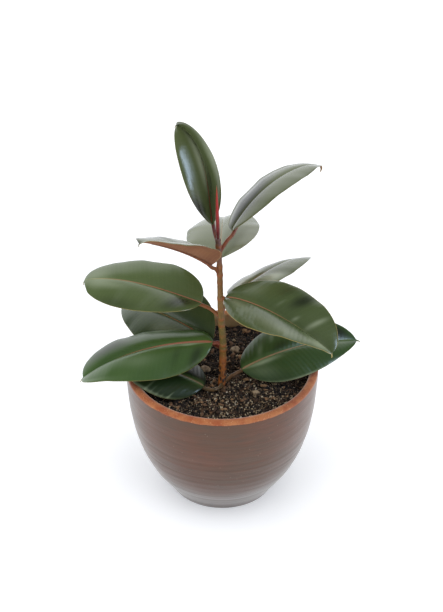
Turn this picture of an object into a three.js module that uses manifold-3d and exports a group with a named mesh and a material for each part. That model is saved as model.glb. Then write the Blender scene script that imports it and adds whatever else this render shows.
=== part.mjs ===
// A young rubber plant in a bowl-shaped terracotta pot.
// Millimetres, +Z up, origin at the middle of the pot's flat base.
// Azimuth 0 points along +X and 90 along +Y; elevation is up from the horizontal.

import * as THREE from 'three';
import { mergeVertices } from 'three/addons/utils/BufferGeometryUtils.js';
import Module from 'manifold-3d';

// ---------- driving dimensions ----------

const GAP = 0.35;             // clearance between touching pieces

const POT_HEIGHT = 160;       // to the line where the clay turns over into the rim
const RIM_RADIUS = 110;
const BASE_RADIUS = 60;
const WALL = 9.5;
const LIP_FLATNESS = 0.7;     // rise of the rounded rim as a share of half the wall
const FLOOR = 12;
const CORNER = [8, 3];        // the slope from the floor to the inner wall: [width, height]
const BELLY_LOW = [74, 27];   // the side's two pulling points: [radius, height]
const BELLY_HIGH = [106, 45];
const POT_SIDES = 48;
const SIDE_STEPS = 14;        // rings up the outside
const WALL_STEPS = 9;         // up the inside
const LIP_STEPS = 6;          // and over the rim

const SOIL_LEVEL = 146;       // where the soil meets the wall
const SOIL_MOUND = 4;         // how much higher it stands in the middle
const SOIL_LUMPS = 1.6;       // height of its lumps
const LUMP_X = 7;             // their size across, lengthwise and on the slant
const LUMP_Y = 6;
const LUMP_SLANT = 4;
const LUMP_LEVEL = 0.6;       // height of the slanting lumps as a share of the others
const LUMP_PHASES = [1.3, 2]; // where the lengthwise and the slanting lumps start
const SOIL_EDGE = 6;          // depth over which its side draws in under the edge
const SOIL_INSET = 0.9;       // how far the edge stands in from the clay
const SOIL_RINGS = 8;
const CHIP_COUNT = 34;
const CHIP_SPREAD = 90;       // radius that the chips lie within
const CHIP_SMALLEST = 2.2;    // width of the smallest chip
const CHIP_RANGE = 2.6;       // and how much wider the largest is
const CHIP_SHAPE = [1.7, 1, 0.7];
const PEBBLE_SHAPE = [1.2, 1];
const PEBBLE_PROUD = 0.25;    // share of its radius that a pebble's middle lies above the soil

const STEM_HOLE_DEPTH = 45;
const STEM_FOOT = 108;        // lowest end, down in the soil
const STEM_TOP = 347;
const STEM_CAP = 1.5;         // height of the blunt point on it
const STEM_LOW = [150, 4.1];  // [height, radius] at the soil
const STEM_HIGH = [347, 2.9]; // and at the top
const SCAR_PROUD = 0.45;      // how far the ring at each leaf stands out
const SCAR_WIDTH = 2.6;
const STEM_SIDES = 10;
const STEM_STEP = 5.5;
const STEM_ROUTE = [          // [x, y, z] along the stem
  [-0.8, -24.5, 108], [-0.8, -24.5, 146], [0, -22, 160], [0.8, -19, 190],
  [0.6, -19, 212], [-1, -19, 240], [-2.4, -19, 280], [-3, -19, 312], [-4.6, -19, 347],
];

const BLADE_THICKNESS = 1;
const OVAL_END = 0.96;        // share of the blade where its oval outline closes
const BASE_ROUND = [2.2, 0.66]; // the two powers that round the oval towards the base
const TIP_ROUND = 2.1;        // and the first of the two towards the tip
const TAIL_START = 0.86;      // share where the drip tip starts
const TAIL_FULL = 0.93;       // and where it reaches its full width
const TAIL_TAPER = 0.92;      // and where it starts to narrow
const TAIL_SHAPE = 0.8;       // power along which it narrows
const TAIL_RADIUS = 2.6;      // half the drip tip's width
const TAIL_BLEND = 3;         // power that joins it to the oval
const LEAST_RADIUS = 0.9;     // half the blade's least width
const HOOK_START = 0.9;       // share where the tip turns down
const NARROW_CURL = 0.35;     // share of the curl left where the blade is narrow
const BLADE_STEPS = 16;       // along the leaf
const HALF_STEPS = 4;         // from the midrib to the edge
const END_CROWDING = 0.7;     // how much closer the steps are near both ends
const STALK_RADIUS = 2.1;
const STALK_STEPS = 6;
const STALK_SIDES = 6;
const STALK_EASE = 2.5;       // how late the stalk's slope becomes the blade's
const DIP_START = 0.5;        // share of the stalk where it starts to pass under the blade
const DIP_END = 0.9;
const RIB_RADIUS = 0.8 * STALK_RADIUS;
const RIB_TIP_RADIUS = 0.7;
const RIB_START = 0.05;       // share of the blade where the midrib takes over from the stalk
const RIB_END = 0.82;         // and where it has run out
const RIB_STEPS = 8;
const RIB_GAP = 1.6 * GAP;    // between the blade and the midrib under it
const RIB_DROP = 1.15;        // the midrib's middle below that, in radii

const BUD_LENGTH = 72;
const BUD_RADIUS = 2.2;
const BUD_SIDES = 10;
const BUD_LEAN = -1.2;        // degrees towards +X
const BUD_TILT = 3;           // and towards -Y
const BUD_SHAPE = [           // shares of its radius and its length
  [0, 0], [0.8, 0], [1, 0.1], [0.8, 0.45], [0.42, 0.8], [0, 1],
];

// Each leaf: node is where it leaves the stem (height), then its stalk and its blade.
// azimuth, sweep: bearing at the blade's base, and how far it turns by the tip
// rise, turn: the stalk's own slope and extra bearing where it leaves the stem
// pitch, tip, bend: slope at the blade's base and tip, and how late it changes
// roll, twist: lean about the midrib (+ lifts the left edge), and how it changes by the tip
// left, right: fold of each half up from flat; leftTip, rightTip: the same at the tip
// curl: how far each half curves down towards its edge
// belly, point: where the blade is widest, and how drawn out its tip is (0.4 blunt, 1 sharp)
// hook: how far the last tenth turns down
const LEAVES = {
  a: { node: 338, stalk: 27, rise: 20, turn: -20, azimuth: 121, sweep: 19, pitch: 81, tip: -10,
    bend: 3, length: 133, width: 62, belly: 0.57, roll: -50, twist: -25, left: 75, right: 48,
    curl: 24, hook: 70 },
  b: { node: 329, stalk: 29, rise: 50, turn: -15, azimuth: 43, pitch: 48, tip: -30,
    length: 157, width: 70, belly: 0.4, point: 1, roll: -32, twist: 18, left: 14, leftTip: 12,
    right: 21, rightTip: 12, curl: 39, hook: 130 },
  c: { node: 311, stalk: 12, rise: 15, azimuth: 88, pitch: 8, tip: -35,
    length: 140, width: 84, belly: 0.5, roll: -7, left: 14, right: 16, curl: 44 },
  d: { node: 300, stalk: 20, rise: 62, azimuth: 214, pitch: 47, tip: 26, bend: 0.7,
    length: 118, width: 70, point: 0.5, roll: 15, twist: 10, left: 48, leftTip: 20,
    right: 47, rightTip: 24, curl: 39, hook: 170 },
  e: { node: 241, stalk: 28, rise: 40, azimuth: 160, pitch: 10, tip: -25, bend: 2,
    length: 151, width: 75, belly: 0.41, point: 0.45, roll: -10, left: 28, leftTip: -14,
    right: 32, rightTip: 10, curl: 36, hook: 90 },
  f: { node: 198, stalk: 17, rise: 3, azimuth: 136, pitch: 7, tip: -27, bend: 1.2,
    length: 155, width: 85, belly: 0.42, roll: -21, left: 2, leftTip: 16,
    right: 54, curl: 44 },
  g: { node: 205, stalk: 12, rise: 20, azimuth: 179, pitch: 0, tip: -43, bend: 1.1,
    length: 167, width: 77, belly: 0.47, point: 0.38, roll: -15, left: -24, leftTip: 42,
    right: -8, rightTip: 12, curl: 44 },
  h: { node: 154, stalk: 31, rise: 2, turn: 105, azimuth: 160, sweep: -10, pitch: 27, tip: -8,
    bend: 0.6, length: 112, width: 76, roll: -8, twist: -6, left: 0, leftTip: 28, right: 2,
    curl: 32 },
  i: { node: 232, stalk: 38, rise: 88, azimuth: 42, pitch: 11, tip: -25, bend: 2,
    length: 121, width: 73, point: 0.55, roll: -26, twist: -8, left: 12, right: 6, curl: 32,
    hook: 40 },
  j: { node: 268, stalk: 8, rise: 30, azimuth: -35, pitch: 26, tip: -24, bend: 0.5,
    length: 151, width: 84, belly: 0.52, point: 0.5, roll: 2, left: 38, right: 10,
    rightTip: 46, curl: 36, hook: 85 },
  k: { node: 153, stalk: 28, rise: 34, azimuth: 19, pitch: 22, tip: -17,
    length: 148, width: 75, roll: 24, left: 4, leftTip: 24, right: 5, rightTip: 35, curl: 39 },
};
const LEAF_DEFAULTS = {
  turn: 0, sweep: 0, bend: 1, hook: 20, belly: 0.46, point: 0.72, twist: 0, curl: 0,
};

const PEBBLES = [             // [x, y, radius, flatness]
  [-19, 8, 5.5, 0.6], [15, 47, 5, 0.7], [38, -38, 3.5, 0.7],
];

const finish = (colour, roughness) =>
  new THREE.MeshStandardMaterial({ color: colour, roughness, metalness: 0 });
const CLAY = finish(0x7a5648, 0.55);
const EARTH = finish(0x33271f, 0.95);
const STONE = finish(0xa79a8b, 0.8);
const BARK = finish(0x93703f, 0.7);
const SHEATH = finish(0xb3202a, 0.4);
const BLADE = finish(0x33482f, 0.3);
const STALK = finish(0x8c4a30, 0.45);

// ---------- small helpers ----------

const wasm = await Module();
wasm.setup();

const radians = THREE.MathUtils.degToRad;
const clamp = THREE.MathUtils.clamp;
const lerp = THREE.MathUtils.lerp;
const ease = (share) => THREE.MathUtils.smoothstep(share, 0, 1);

/** A repeatable run of numbers from 0 to 1. */
function makeRandom(seed) {
  let state = seed;
  return () => {
    state = (state * 1664525 + 1013904223) % 4294967296;
    return state / 4294967296;
  };
}

function toSolid(geometry) {
  const bare = geometry.clone();
  bare.deleteAttribute('normal');
  bare.deleteAttribute('uv');
  const merged = mergeVertices(bare, 1e-4);
  return new wasm.Manifold(new wasm.Mesh({
    numProp: 3,
    vertProperties: new Float32Array(merged.attributes.position.array),
    triVerts: new Uint32Array(merged.index.array),
  }));
}

function toGeometry(solid) {
  const mesh = solid.getMesh();
  const geometry = new THREE.BufferGeometry();
  geometry.setAttribute('position', new THREE.BufferAttribute(mesh.vertProperties, 3));
  geometry.setIndex(new THREE.BufferAttribute(mesh.triVerts, 1));
  return geometry;
}

/** A profile of [radius, height] points turned about the vertical axis. */
function turned(profile, sides) {
  const points = profile.map(([radius, height]) => new THREE.Vector2(radius, height));
  return new THREE.LatheGeometry(points, sides).rotateX(Math.PI / 2);
}

/** Closed skin over rings of points, with a fan at each end. */
function skin(rings, startPoint, endPoint) {
  const sides = rings[0].length;
  const points = [startPoint, ...rings.flat(), endPoint];
  const last = points.length - 1;
  const faces = [];
  for (let side = 0; side < sides; side += 1) {
    const next = (side + 1) % sides;
    faces.push(0, 1 + next, 1 + side);
    for (let ring = 0; ring + 1 < rings.length; ring += 1) {
      const near = 1 + ring * sides;
      const far = near + sides;
      faces.push(near + side, near + next, far + next, near + side, far + next, far + side);
    }
    const top = 1 + (rings.length - 1) * sides;
    faces.push(last, top + side, top + next);
  }
  const geometry = new THREE.BufferGeometry().setFromPoints(points);
  geometry.setIndex(faces);
  return geometry;
}

// ---------- pot ----------

const potSide = new THREE.CubicBezierCurve(
  new THREE.Vector2(BASE_RADIUS, 0),
  new THREE.Vector2(...BELLY_LOW),
  new THREE.Vector2(...BELLY_HIGH),
  new THREE.Vector2(RIM_RADIUS, POT_HEIGHT),
);

/** Inner wall: the side curve set in by the wall, from the floor up to the rim. */
function innerWall(inset) {
  const points = [];
  for (let step = 0; step <= WALL_STEPS; step += 1) {
    const at = potSide.getPoint(step / WALL_STEPS);
    const along = potSide.getTangent(step / WALL_STEPS);
    const point = [at.x - along.y * inset, at.y + along.x * inset];
    if (point[1] > FLOOR + inset - WALL + CORNER[1]) points.push(point);
  }
  return points;
}

function makePot() {
  const outside = potSide.getPoints(SIDE_STEPS).map((point) => [point.x, point.y]);
  const lip = WALL / 2;
  const rim = [];
  for (let step = 1; step < LIP_STEPS; step += 1) {
    const angle = (Math.PI * step) / LIP_STEPS;
    const rise = LIP_FLATNESS * lip * Math.sin(angle);
    rim.push([RIM_RADIUS - lip + lip * Math.cos(angle), POT_HEIGHT + rise]);
  }
  const inside = innerWall(WALL).reverse();
  const corner = [inside.at(-1)[0] - CORNER[0], FLOOR];
  return turned([[0, 0], ...outside, ...rim, ...inside, corner, [0, FLOOR]], POT_SIDES);
}

// ---------- stem ----------

const stemCurve = new THREE.CatmullRomCurve3(STEM_ROUTE.map((p) => new THREE.Vector3(...p)));
const STEM_SAMPLES = stemCurve.getPoints(200);

/** Middle of the stem at a height. */
function stemAt(height) {
  const above = STEM_SAMPLES.findIndex((point) => point.z >= height);
  if (above <= 0) return new THREE.Vector3(STEM_ROUTE[0][0], STEM_ROUTE[0][1], height);
  const low = STEM_SAMPLES[above - 1];
  const high = STEM_SAMPLES[above];
  return low.clone().lerp(high, (height - low.z) / (high.z - low.z));
}

const leafNodes = Object.values(LEAVES).map((leaf) => leaf.node);

/** Stem radius: slimmer upwards, with a low ring where each leaf grows. */
function stemRadius(height) {
  const [low, thick] = STEM_LOW;
  const [high, slim] = STEM_HIGH;
  const plain = lerp(thick, slim, clamp((height - low) / (high - low), 0, 1));
  const scars = leafNodes.map((node) => Math.exp(-(((height - node) / SCAR_WIDTH) ** 2)));
  return plain + SCAR_PROUD * Math.max(...scars);
}

function stemSkin(extra, foot) {
  const heights = [];
  for (let height = foot; height < STEM_TOP; height += STEM_STEP) heights.push(height);
  heights.push(STEM_TOP);
  const rings = heights.map((height) => {
    const middle = stemAt(height);
    const radius = stemRadius(height) + extra;
    return Array.from({ length: STEM_SIDES }, (_, side) => {
      const angle = (2 * Math.PI * side) / STEM_SIDES;
      return new THREE.Vector3(
        middle.x + radius * Math.cos(angle), middle.y + radius * Math.sin(angle), height);
    });
  });
  const top = stemAt(STEM_TOP);
  top.z = STEM_TOP + STEM_CAP;
  return skin(rings, stemAt(foot), top);
}

// ---------- leaf ----------

/** Half the blade's width at t, 0 at its base and 1 at its tip: an oval and a drip tip. */
function halfWidth(leaf, t) {
  const along = clamp(t / OVAL_END, 0, 1);
  const x = 2 * along ** (Math.log(0.5) / Math.log(leaf.belly)) - 1;
  const oval = x < 0
    ? Math.max(1 - Math.abs(x) ** BASE_ROUND[0], 0) ** BASE_ROUND[1]
    : Math.max(1 - x ** TIP_ROUND, 0) ** leaf.point;
  const swell = ease((t - TAIL_START) / (TAIL_FULL - TAIL_START));
  const taper = clamp((1 - t) / (1 - TAIL_TAPER), 0, 1) ** TAIL_SHAPE;
  const body = (oval * leaf.width) / 2;
  const tail = TAIL_RADIUS * swell * taper;
  return Math.max((body ** TAIL_BLEND + tail ** TAIL_BLEND) ** (1 / TAIL_BLEND), LEAST_RADIUS);
}

const heading = (slope, bearing) => new THREE.Vector3(
  Math.cos(slope) * Math.cos(bearing), Math.cos(slope) * Math.sin(bearing), Math.sin(slope));

/** Points along a path whose slope and bearing are given as functions of its share, 0 to 1. */
function walk(start, length, steps, slopeAt, bearingAt) {
  const points = [start.clone()];
  for (let step = 0; step < steps; step += 1) {
    const here = heading(slopeAt(step / steps), bearingAt(step / steps));
    const next = heading(slopeAt((step + 1) / steps), bearingAt((step + 1) / steps));
    points.push(points.at(-1).clone().addScaledVector(here.add(next), length / steps / 2));
  }
  return points;
}

const FINE = 8;               // walking steps for each step of the blade

function leafPath(leaf) {
  const rise = radians(leaf.rise);
  const pitch = radians(leaf.pitch);
  const azimuth = radians(leaf.azimuth);
  const stalkSlope = (u) => lerp(rise, pitch, u ** STALK_EASE);
  const stalkBearing = (u) => azimuth + radians(leaf.turn) * (1 - ease(u));
  const hook = (t) => clamp((t - HOOK_START) / (1 - HOOK_START), 0, 1) ** 2;
  const bladeSlope = (t) =>
    lerp(pitch, radians(leaf.tip), t ** leaf.bend) - radians(leaf.hook) * hook(t);
  const bladeBearing = (t) => azimuth + radians(leaf.sweep) * t;
  const stalk = walk(stemAt(leaf.node), leaf.stalk, STALK_STEPS, stalkSlope, stalkBearing);
  const blade = walk(stalk.at(-1), leaf.length, BLADE_STEPS * FINE, bladeSlope, bladeBearing);
  return { stalk, blade, bladeSlope, bladeBearing };
}

/** Side and upward directions of the rolled blade at t. */
function bladeFrame(leaf, path, t) {
  const bearing = path.bladeBearing(t);
  const side = new THREE.Vector3(-Math.sin(bearing), Math.cos(bearing), 0);
  const up = heading(path.bladeSlope(t), bearing).cross(side);
  const roll = radians(leaf.roll + leaf.twist * t);
  return {
    side: side.clone().multiplyScalar(Math.cos(roll)).addScaledVector(up, Math.sin(roll)),
    up: up.clone().multiplyScalar(Math.cos(roll)).addScaledVector(side, -Math.sin(roll)),
  };
}

/** Blade's middle surface at t along and u across, -1 at the right edge and 1 at the left. */
function bladePoint(leaf, path, t, u) {
  const reach = halfWidth(leaf, t);
  const share = Math.min(reach / (leaf.width / 2), 1);
  const { side, up } = bladeFrame(leaf, path, t);
  const half = u >= 0 ? 'left' : 'right';
  const fold = radians(lerp(leaf[half], leaf[`${half}Tip`] ?? leaf[half], ease(t)));
  const curl = radians(leaf.curl) * Math.abs(u) * lerp(NARROW_CURL, 1, share);
  const out = Math.abs(u) * reach;
  const middle = path.blade[Math.round(t * BLADE_STEPS * FINE)];
  return middle.clone()
    .addScaledVector(side, out * Math.cos(fold - curl / 2) * Math.sign(u))
    .addScaledVector(up, out * Math.sin(fold - curl / 2));
}

/** Shares along the blade, closer together near both ends, on the path's own points. */
function bladeShares() {
  const total = BLADE_STEPS * FINE;
  return Array.from({ length: BLADE_STEPS + 1 }, (_, step) => {
    const even = step / BLADE_STEPS;
    const eased = 0.5 - 0.5 * Math.cos(Math.PI * even);
    return Math.round(lerp(even, eased, END_CROWDING) * total) / total;
  });
}

/** The blade as a closed sheet, both faces split into triangles alike. */
function bladeGeometry(leaf, thickness) {
  const path = leafPath(leaf);
  const shares = bladeShares();
  const across = 2 * HALF_STEPS;
  const grid = shares.map((t) => Array.from({ length: across + 1 }, (_, column) =>
    bladePoint(leaf, path, t, column / HALF_STEPS - 1)));
  const normals = grid.map((row, i) => row.map((_, j) => {
    const lengthwise = grid[Math.min(i + 1, BLADE_STEPS)][j].clone()
      .sub(grid[Math.max(i - 1, 0)][j]);
    const crosswise = grid[i][Math.min(j + 1, across)].clone().sub(grid[i][Math.max(j - 1, 0)]);
    return lengthwise.cross(crosswise).normalize();
  }));
  const lift = (amount) => grid.flatMap((row, i) =>
    row.map((point, j) => point.clone().addScaledVector(normals[i][j], amount)));
  const points = [...lift(thickness / 2), ...lift(-thickness / 2)];
  const row = across + 1;
  const under = row * shares.length;
  const faces = [];
  for (let i = 0; i < BLADE_STEPS; i += 1) {
    for (let j = 0; j < across; j += 1) {
      const [a, b, c, d] = [i * row + j, (i + 1) * row + j, (i + 1) * row + j + 1, i * row + j + 1];
      faces.push(a, b, c, a, c, d);
      faces.push(under + a, under + c, under + b, under + a, under + d, under + c);
    }
  }
  const edge = [];
  for (let j = 0; j < across; j += 1) edge.push(j);
  for (let i = 0; i < BLADE_STEPS; i += 1) edge.push(i * row + across);
  for (let j = across; j > 0; j -= 1) edge.push(BLADE_STEPS * row + j);
  for (let i = BLADE_STEPS; i > 0; i -= 1) edge.push(i * row);
  edge.forEach((here, index) => {
    const next = edge[(index + 1) % edge.length];
    faces.push(here, next, under + next, here, under + next, under + here);
  });
  const geometry = new THREE.BufferGeometry().setFromPoints(points);
  geometry.setIndex(faces);
  return geometry;
}

/** Places along the stalk and its midrib: a point, the blade's upward side there, and a radius. */
function stalkStations(leaf) {
  const path = leafPath(leaf);
  const baseUp = bladeFrame(leaf, path, 0).up;
  const stations = path.stalk.map((point, step) => {
    const dip = clamp((step / STALK_STEPS - DIP_START) / (DIP_END - DIP_START), 0, 1);
    return { point, up: baseUp, radius: STALK_RADIUS, dip };
  });
  for (let step = 0; step <= RIB_STEPS; step += 1) {
    const index = Math.round(lerp(RIB_START, RIB_END, step / RIB_STEPS) * BLADE_STEPS * FINE);
    const t = index / (BLADE_STEPS * FINE);
    stations.push({
      point: path.blade[index],
      up: bladeFrame(leaf, path, t).up,
      radius: lerp(RIB_RADIUS, RIB_TIP_RADIUS, step / RIB_STEPS),
      dip: 1,
    });
  }
  return stations;
}

/** The stalk, dipping under the blade and running on there as the raised midrib. */
function stalkGeometry(leaf) {
  const stations = stalkStations(leaf);
  const clear = BLADE_THICKNESS / 2 + RIB_GAP;
  const middles = stations.map(({ point, up, radius, dip }) =>
    point.clone().addScaledVector(up, -dip * (clear + RIB_DROP * radius)));
  const last = middles.length - 1;
  const rings = stations.map(({ up, radius }, index) => {
    const along = middles[Math.min(index + 1, last)].clone()
      .sub(middles[Math.max(index - 1, 0)]).normalize();
    const side = up.clone().cross(along).normalize();
    const raised = along.clone().cross(side);
    return Array.from({ length: STALK_SIDES }, (_, step) => {
      const angle = (2 * Math.PI * step) / STALK_SIDES;
      return middles[index].clone().addScaledVector(side, radius * Math.cos(angle))
        .addScaledVector(raised, radius * Math.sin(angle));
    });
  });
  return skin(rings, middles[0], middles[last]);
}

// ---------- soil ----------

/** Height of the soil's top: a low mound with soft lumps, level where it meets the wall. */
function soilHeight(x, y) {
  const distance = Math.hypot(x, y) / (RIM_RADIUS - WALL);
  const mound = SOIL_MOUND * (1 - distance ** 2);
  const lumps = Math.sin(x / LUMP_X + LUMP_PHASES[0]) * Math.cos(y / LUMP_Y)
    + LUMP_LEVEL * Math.sin((x + y) / LUMP_SLANT + LUMP_PHASES[1]);
  return SOIL_LEVEL + mound + SOIL_LUMPS * lumps * (1 - distance ** 6);
}

function soilBody() {
  const wall = innerWall(WALL + GAP).filter(([, height]) => height < SOIL_LEVEL - SOIL_EDGE);
  const floor = FLOOR + GAP;
  const edge = RIM_RADIUS - WALL - GAP - SOIL_INSET;
  const top = Array.from({ length: SOIL_RINGS }, (_, ring) =>
    [edge * (1 - ring / SOIL_RINGS), SOIL_LEVEL]);
  const corner = [wall[0][0] - CORNER[0], floor];
  const body = turned([[0, floor], corner, ...wall, ...top, [0, SOIL_LEVEL]], POT_SIDES);
  const place = body.attributes.position;
  for (let index = 0; index < place.count; index += 1) {
    if (place.getZ(index) > SOIL_LEVEL - 0.01) {
      place.setZ(index, soilHeight(place.getX(index), place.getY(index)));
    }
  }
  return body;
}

/** Bark and grit chips, their lower halves sunk in the soil. */
function soilChips() {
  const random = makeRandom(7);
  return Array.from({ length: CHIP_COUNT }, () => {
    const bearing = 2 * Math.PI * random();
    const distance = CHIP_SPREAD * Math.sqrt(random());
    const size = CHIP_SMALLEST + CHIP_RANGE * random();
    const chip = new THREE.BoxGeometry(...CHIP_SHAPE.map((share) => size * share));
    chip.rotateX(random() - 0.5).rotateZ(Math.PI * random());
    const x = distance * Math.cos(bearing);
    const y = distance * Math.sin(bearing);
    return chip.translate(x, y, soilHeight(x, y));
  });
}

function pebble([x, y, radius, flatness], extra) {
  const stone = new THREE.IcosahedronGeometry(radius + extra, 1);
  stone.scale(...PEBBLE_SHAPE, flatness);
  return stone.translate(x, y, soilHeight(x, y) + PEBBLE_PROUD * radius);
}

function stemHole() {
  return stemSkin(GAP, SOIL_LEVEL - STEM_HOLE_DEPTH);
}

function makeSoil() {
  let soil = toSolid(soilBody());
  soilChips().forEach((chip) => { soil = soil.add(toSolid(chip)); });
  PEBBLES.forEach((stone) => { soil = soil.subtract(toSolid(pebble(stone, GAP))); });
  return toGeometry(soil.subtract(toSolid(stemHole())));
}

// ---------- the plant ----------

const plant = new THREE.Group();
const stemClearance = toSolid(stemSkin(GAP, STEM_FOOT));

function add(name, geometry, material) {
  const mesh = new THREE.Mesh(geometry, material);
  mesh.name = name;
  plant.add(mesh);
}

function makeBud() {
  const foot = stemAt(STEM_TOP);
  foot.z += STEM_CAP + GAP;
  const outline = BUD_SHAPE.map(([across, up]) => [across * BUD_RADIUS, up * BUD_LENGTH]);
  return turned(outline, BUD_SIDES).rotateY(radians(BUD_LEAN)).rotateX(radians(BUD_TILT))
    .translate(foot.x, foot.y, foot.z);
}

add('pot', makePot(), CLAY);
add('soil', makeSoil(), EARTH);
PEBBLES.forEach((stone, index) => add(`pebble_${index + 1}`, pebble(stone, 0), STONE));
add('stem', stemSkin(0, STEM_FOOT), BARK);
add('bud', makeBud(), SHEATH);

for (const [letter, values] of Object.entries(LEAVES)) {
  const leaf = { ...LEAF_DEFAULTS, ...values };
  const clearance = toSolid(bladeGeometry(leaf, BLADE_THICKNESS + 2 * GAP));
  const stalk = toSolid(stalkGeometry(leaf)).subtract(stemClearance).subtract(clearance);
  add(`leaf_${letter}`, bladeGeometry(leaf, BLADE_THICKNESS), BLADE);
  add(`stalk_${letter}`, toGeometry(stalk), STALK);
}

export default plant;
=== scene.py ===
"""A young rubber plant in a bowl-shaped terracotta pot, finished around its solid model.

Lengths are in metres and angles in degrees. +Z is up, and the middle of the pot's base is the
origin. Azimuth 0 points along +X and 90 along +Y. Every surface is worked out as whole arrays.
"""

import bpy
import numpy as np
from mathutils import Matrix, Vector


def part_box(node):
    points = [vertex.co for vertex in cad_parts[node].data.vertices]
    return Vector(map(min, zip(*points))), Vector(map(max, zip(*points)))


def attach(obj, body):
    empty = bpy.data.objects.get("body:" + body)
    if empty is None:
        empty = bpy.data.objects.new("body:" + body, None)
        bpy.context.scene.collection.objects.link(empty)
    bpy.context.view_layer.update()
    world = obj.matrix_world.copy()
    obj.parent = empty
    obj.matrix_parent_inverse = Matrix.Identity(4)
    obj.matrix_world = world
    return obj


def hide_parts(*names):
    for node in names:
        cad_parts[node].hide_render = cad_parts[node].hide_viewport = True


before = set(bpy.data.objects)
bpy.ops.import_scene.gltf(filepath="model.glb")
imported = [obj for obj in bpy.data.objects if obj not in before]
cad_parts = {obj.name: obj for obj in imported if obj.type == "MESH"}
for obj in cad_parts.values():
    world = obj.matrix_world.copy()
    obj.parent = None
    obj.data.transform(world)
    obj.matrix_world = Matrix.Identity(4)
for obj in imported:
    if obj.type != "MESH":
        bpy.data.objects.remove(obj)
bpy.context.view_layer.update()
scene = bpy.context.scene
MM = 0.001
X_WAY, Y_WAY, Z_WAY = np.eye(3)

# ---------- driving dimensions ----------

RIM_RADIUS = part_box("pot")[1].x
RIM_LINE = 0.160              # height where the clay turns over into the rim
BASE_RADIUS = 0.060
WALL = 0.0095
LIP = WALL / 2
LIP_FLATNESS = 0.7
FLOOR = 0.012
CORNER = (0.008, 0.003)       # slope from the floor to the inner wall: width, height
BELLY_LOW = (0.074, 0.027)    # the side's two pulling points: radius, height
BELLY_HIGH = (0.106, 0.045)

SOIL_LEVEL = 0.146
SOIL_MOUND = 0.004
SOIL_LUMPS = 0.0016
SOIL_RADIUS = 0.0991

STEM_FOOT, STEM_TOP = 0.108, 0.347
STEM_ROUTE = np.array([       # x, y, z along the stem
    (-0.0008, -0.0245, 0.108), (-0.0008, -0.0245, 0.146), (0, -0.022, 0.160),
    (0.0008, -0.019, 0.190), (0.0006, -0.019, 0.212), (-0.001, -0.019, 0.240),
    (-0.0024, -0.019, 0.280), (-0.003, -0.019, 0.312), (-0.0046, -0.019, 0.347)])
STEM_LOW = (0.150, 0.0041)    # height and radius at the soil
STEM_HIGH = (0.347, 0.0029)   # and at the top

BLADE_THICKNESS = 0.8 * MM
STALK_RADIUS = 2.1 * MM
RIB_START, RIB_END = 0.05, 0.82      # where the midrib lies under the blade, as shares of it

BUD_LENGTH, BUD_RADIUS = 0.072, 2.2 * MM
BUD_LEAN, BUD_TILT = -1.2, 3  # degrees towards +X and towards -Y

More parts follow.
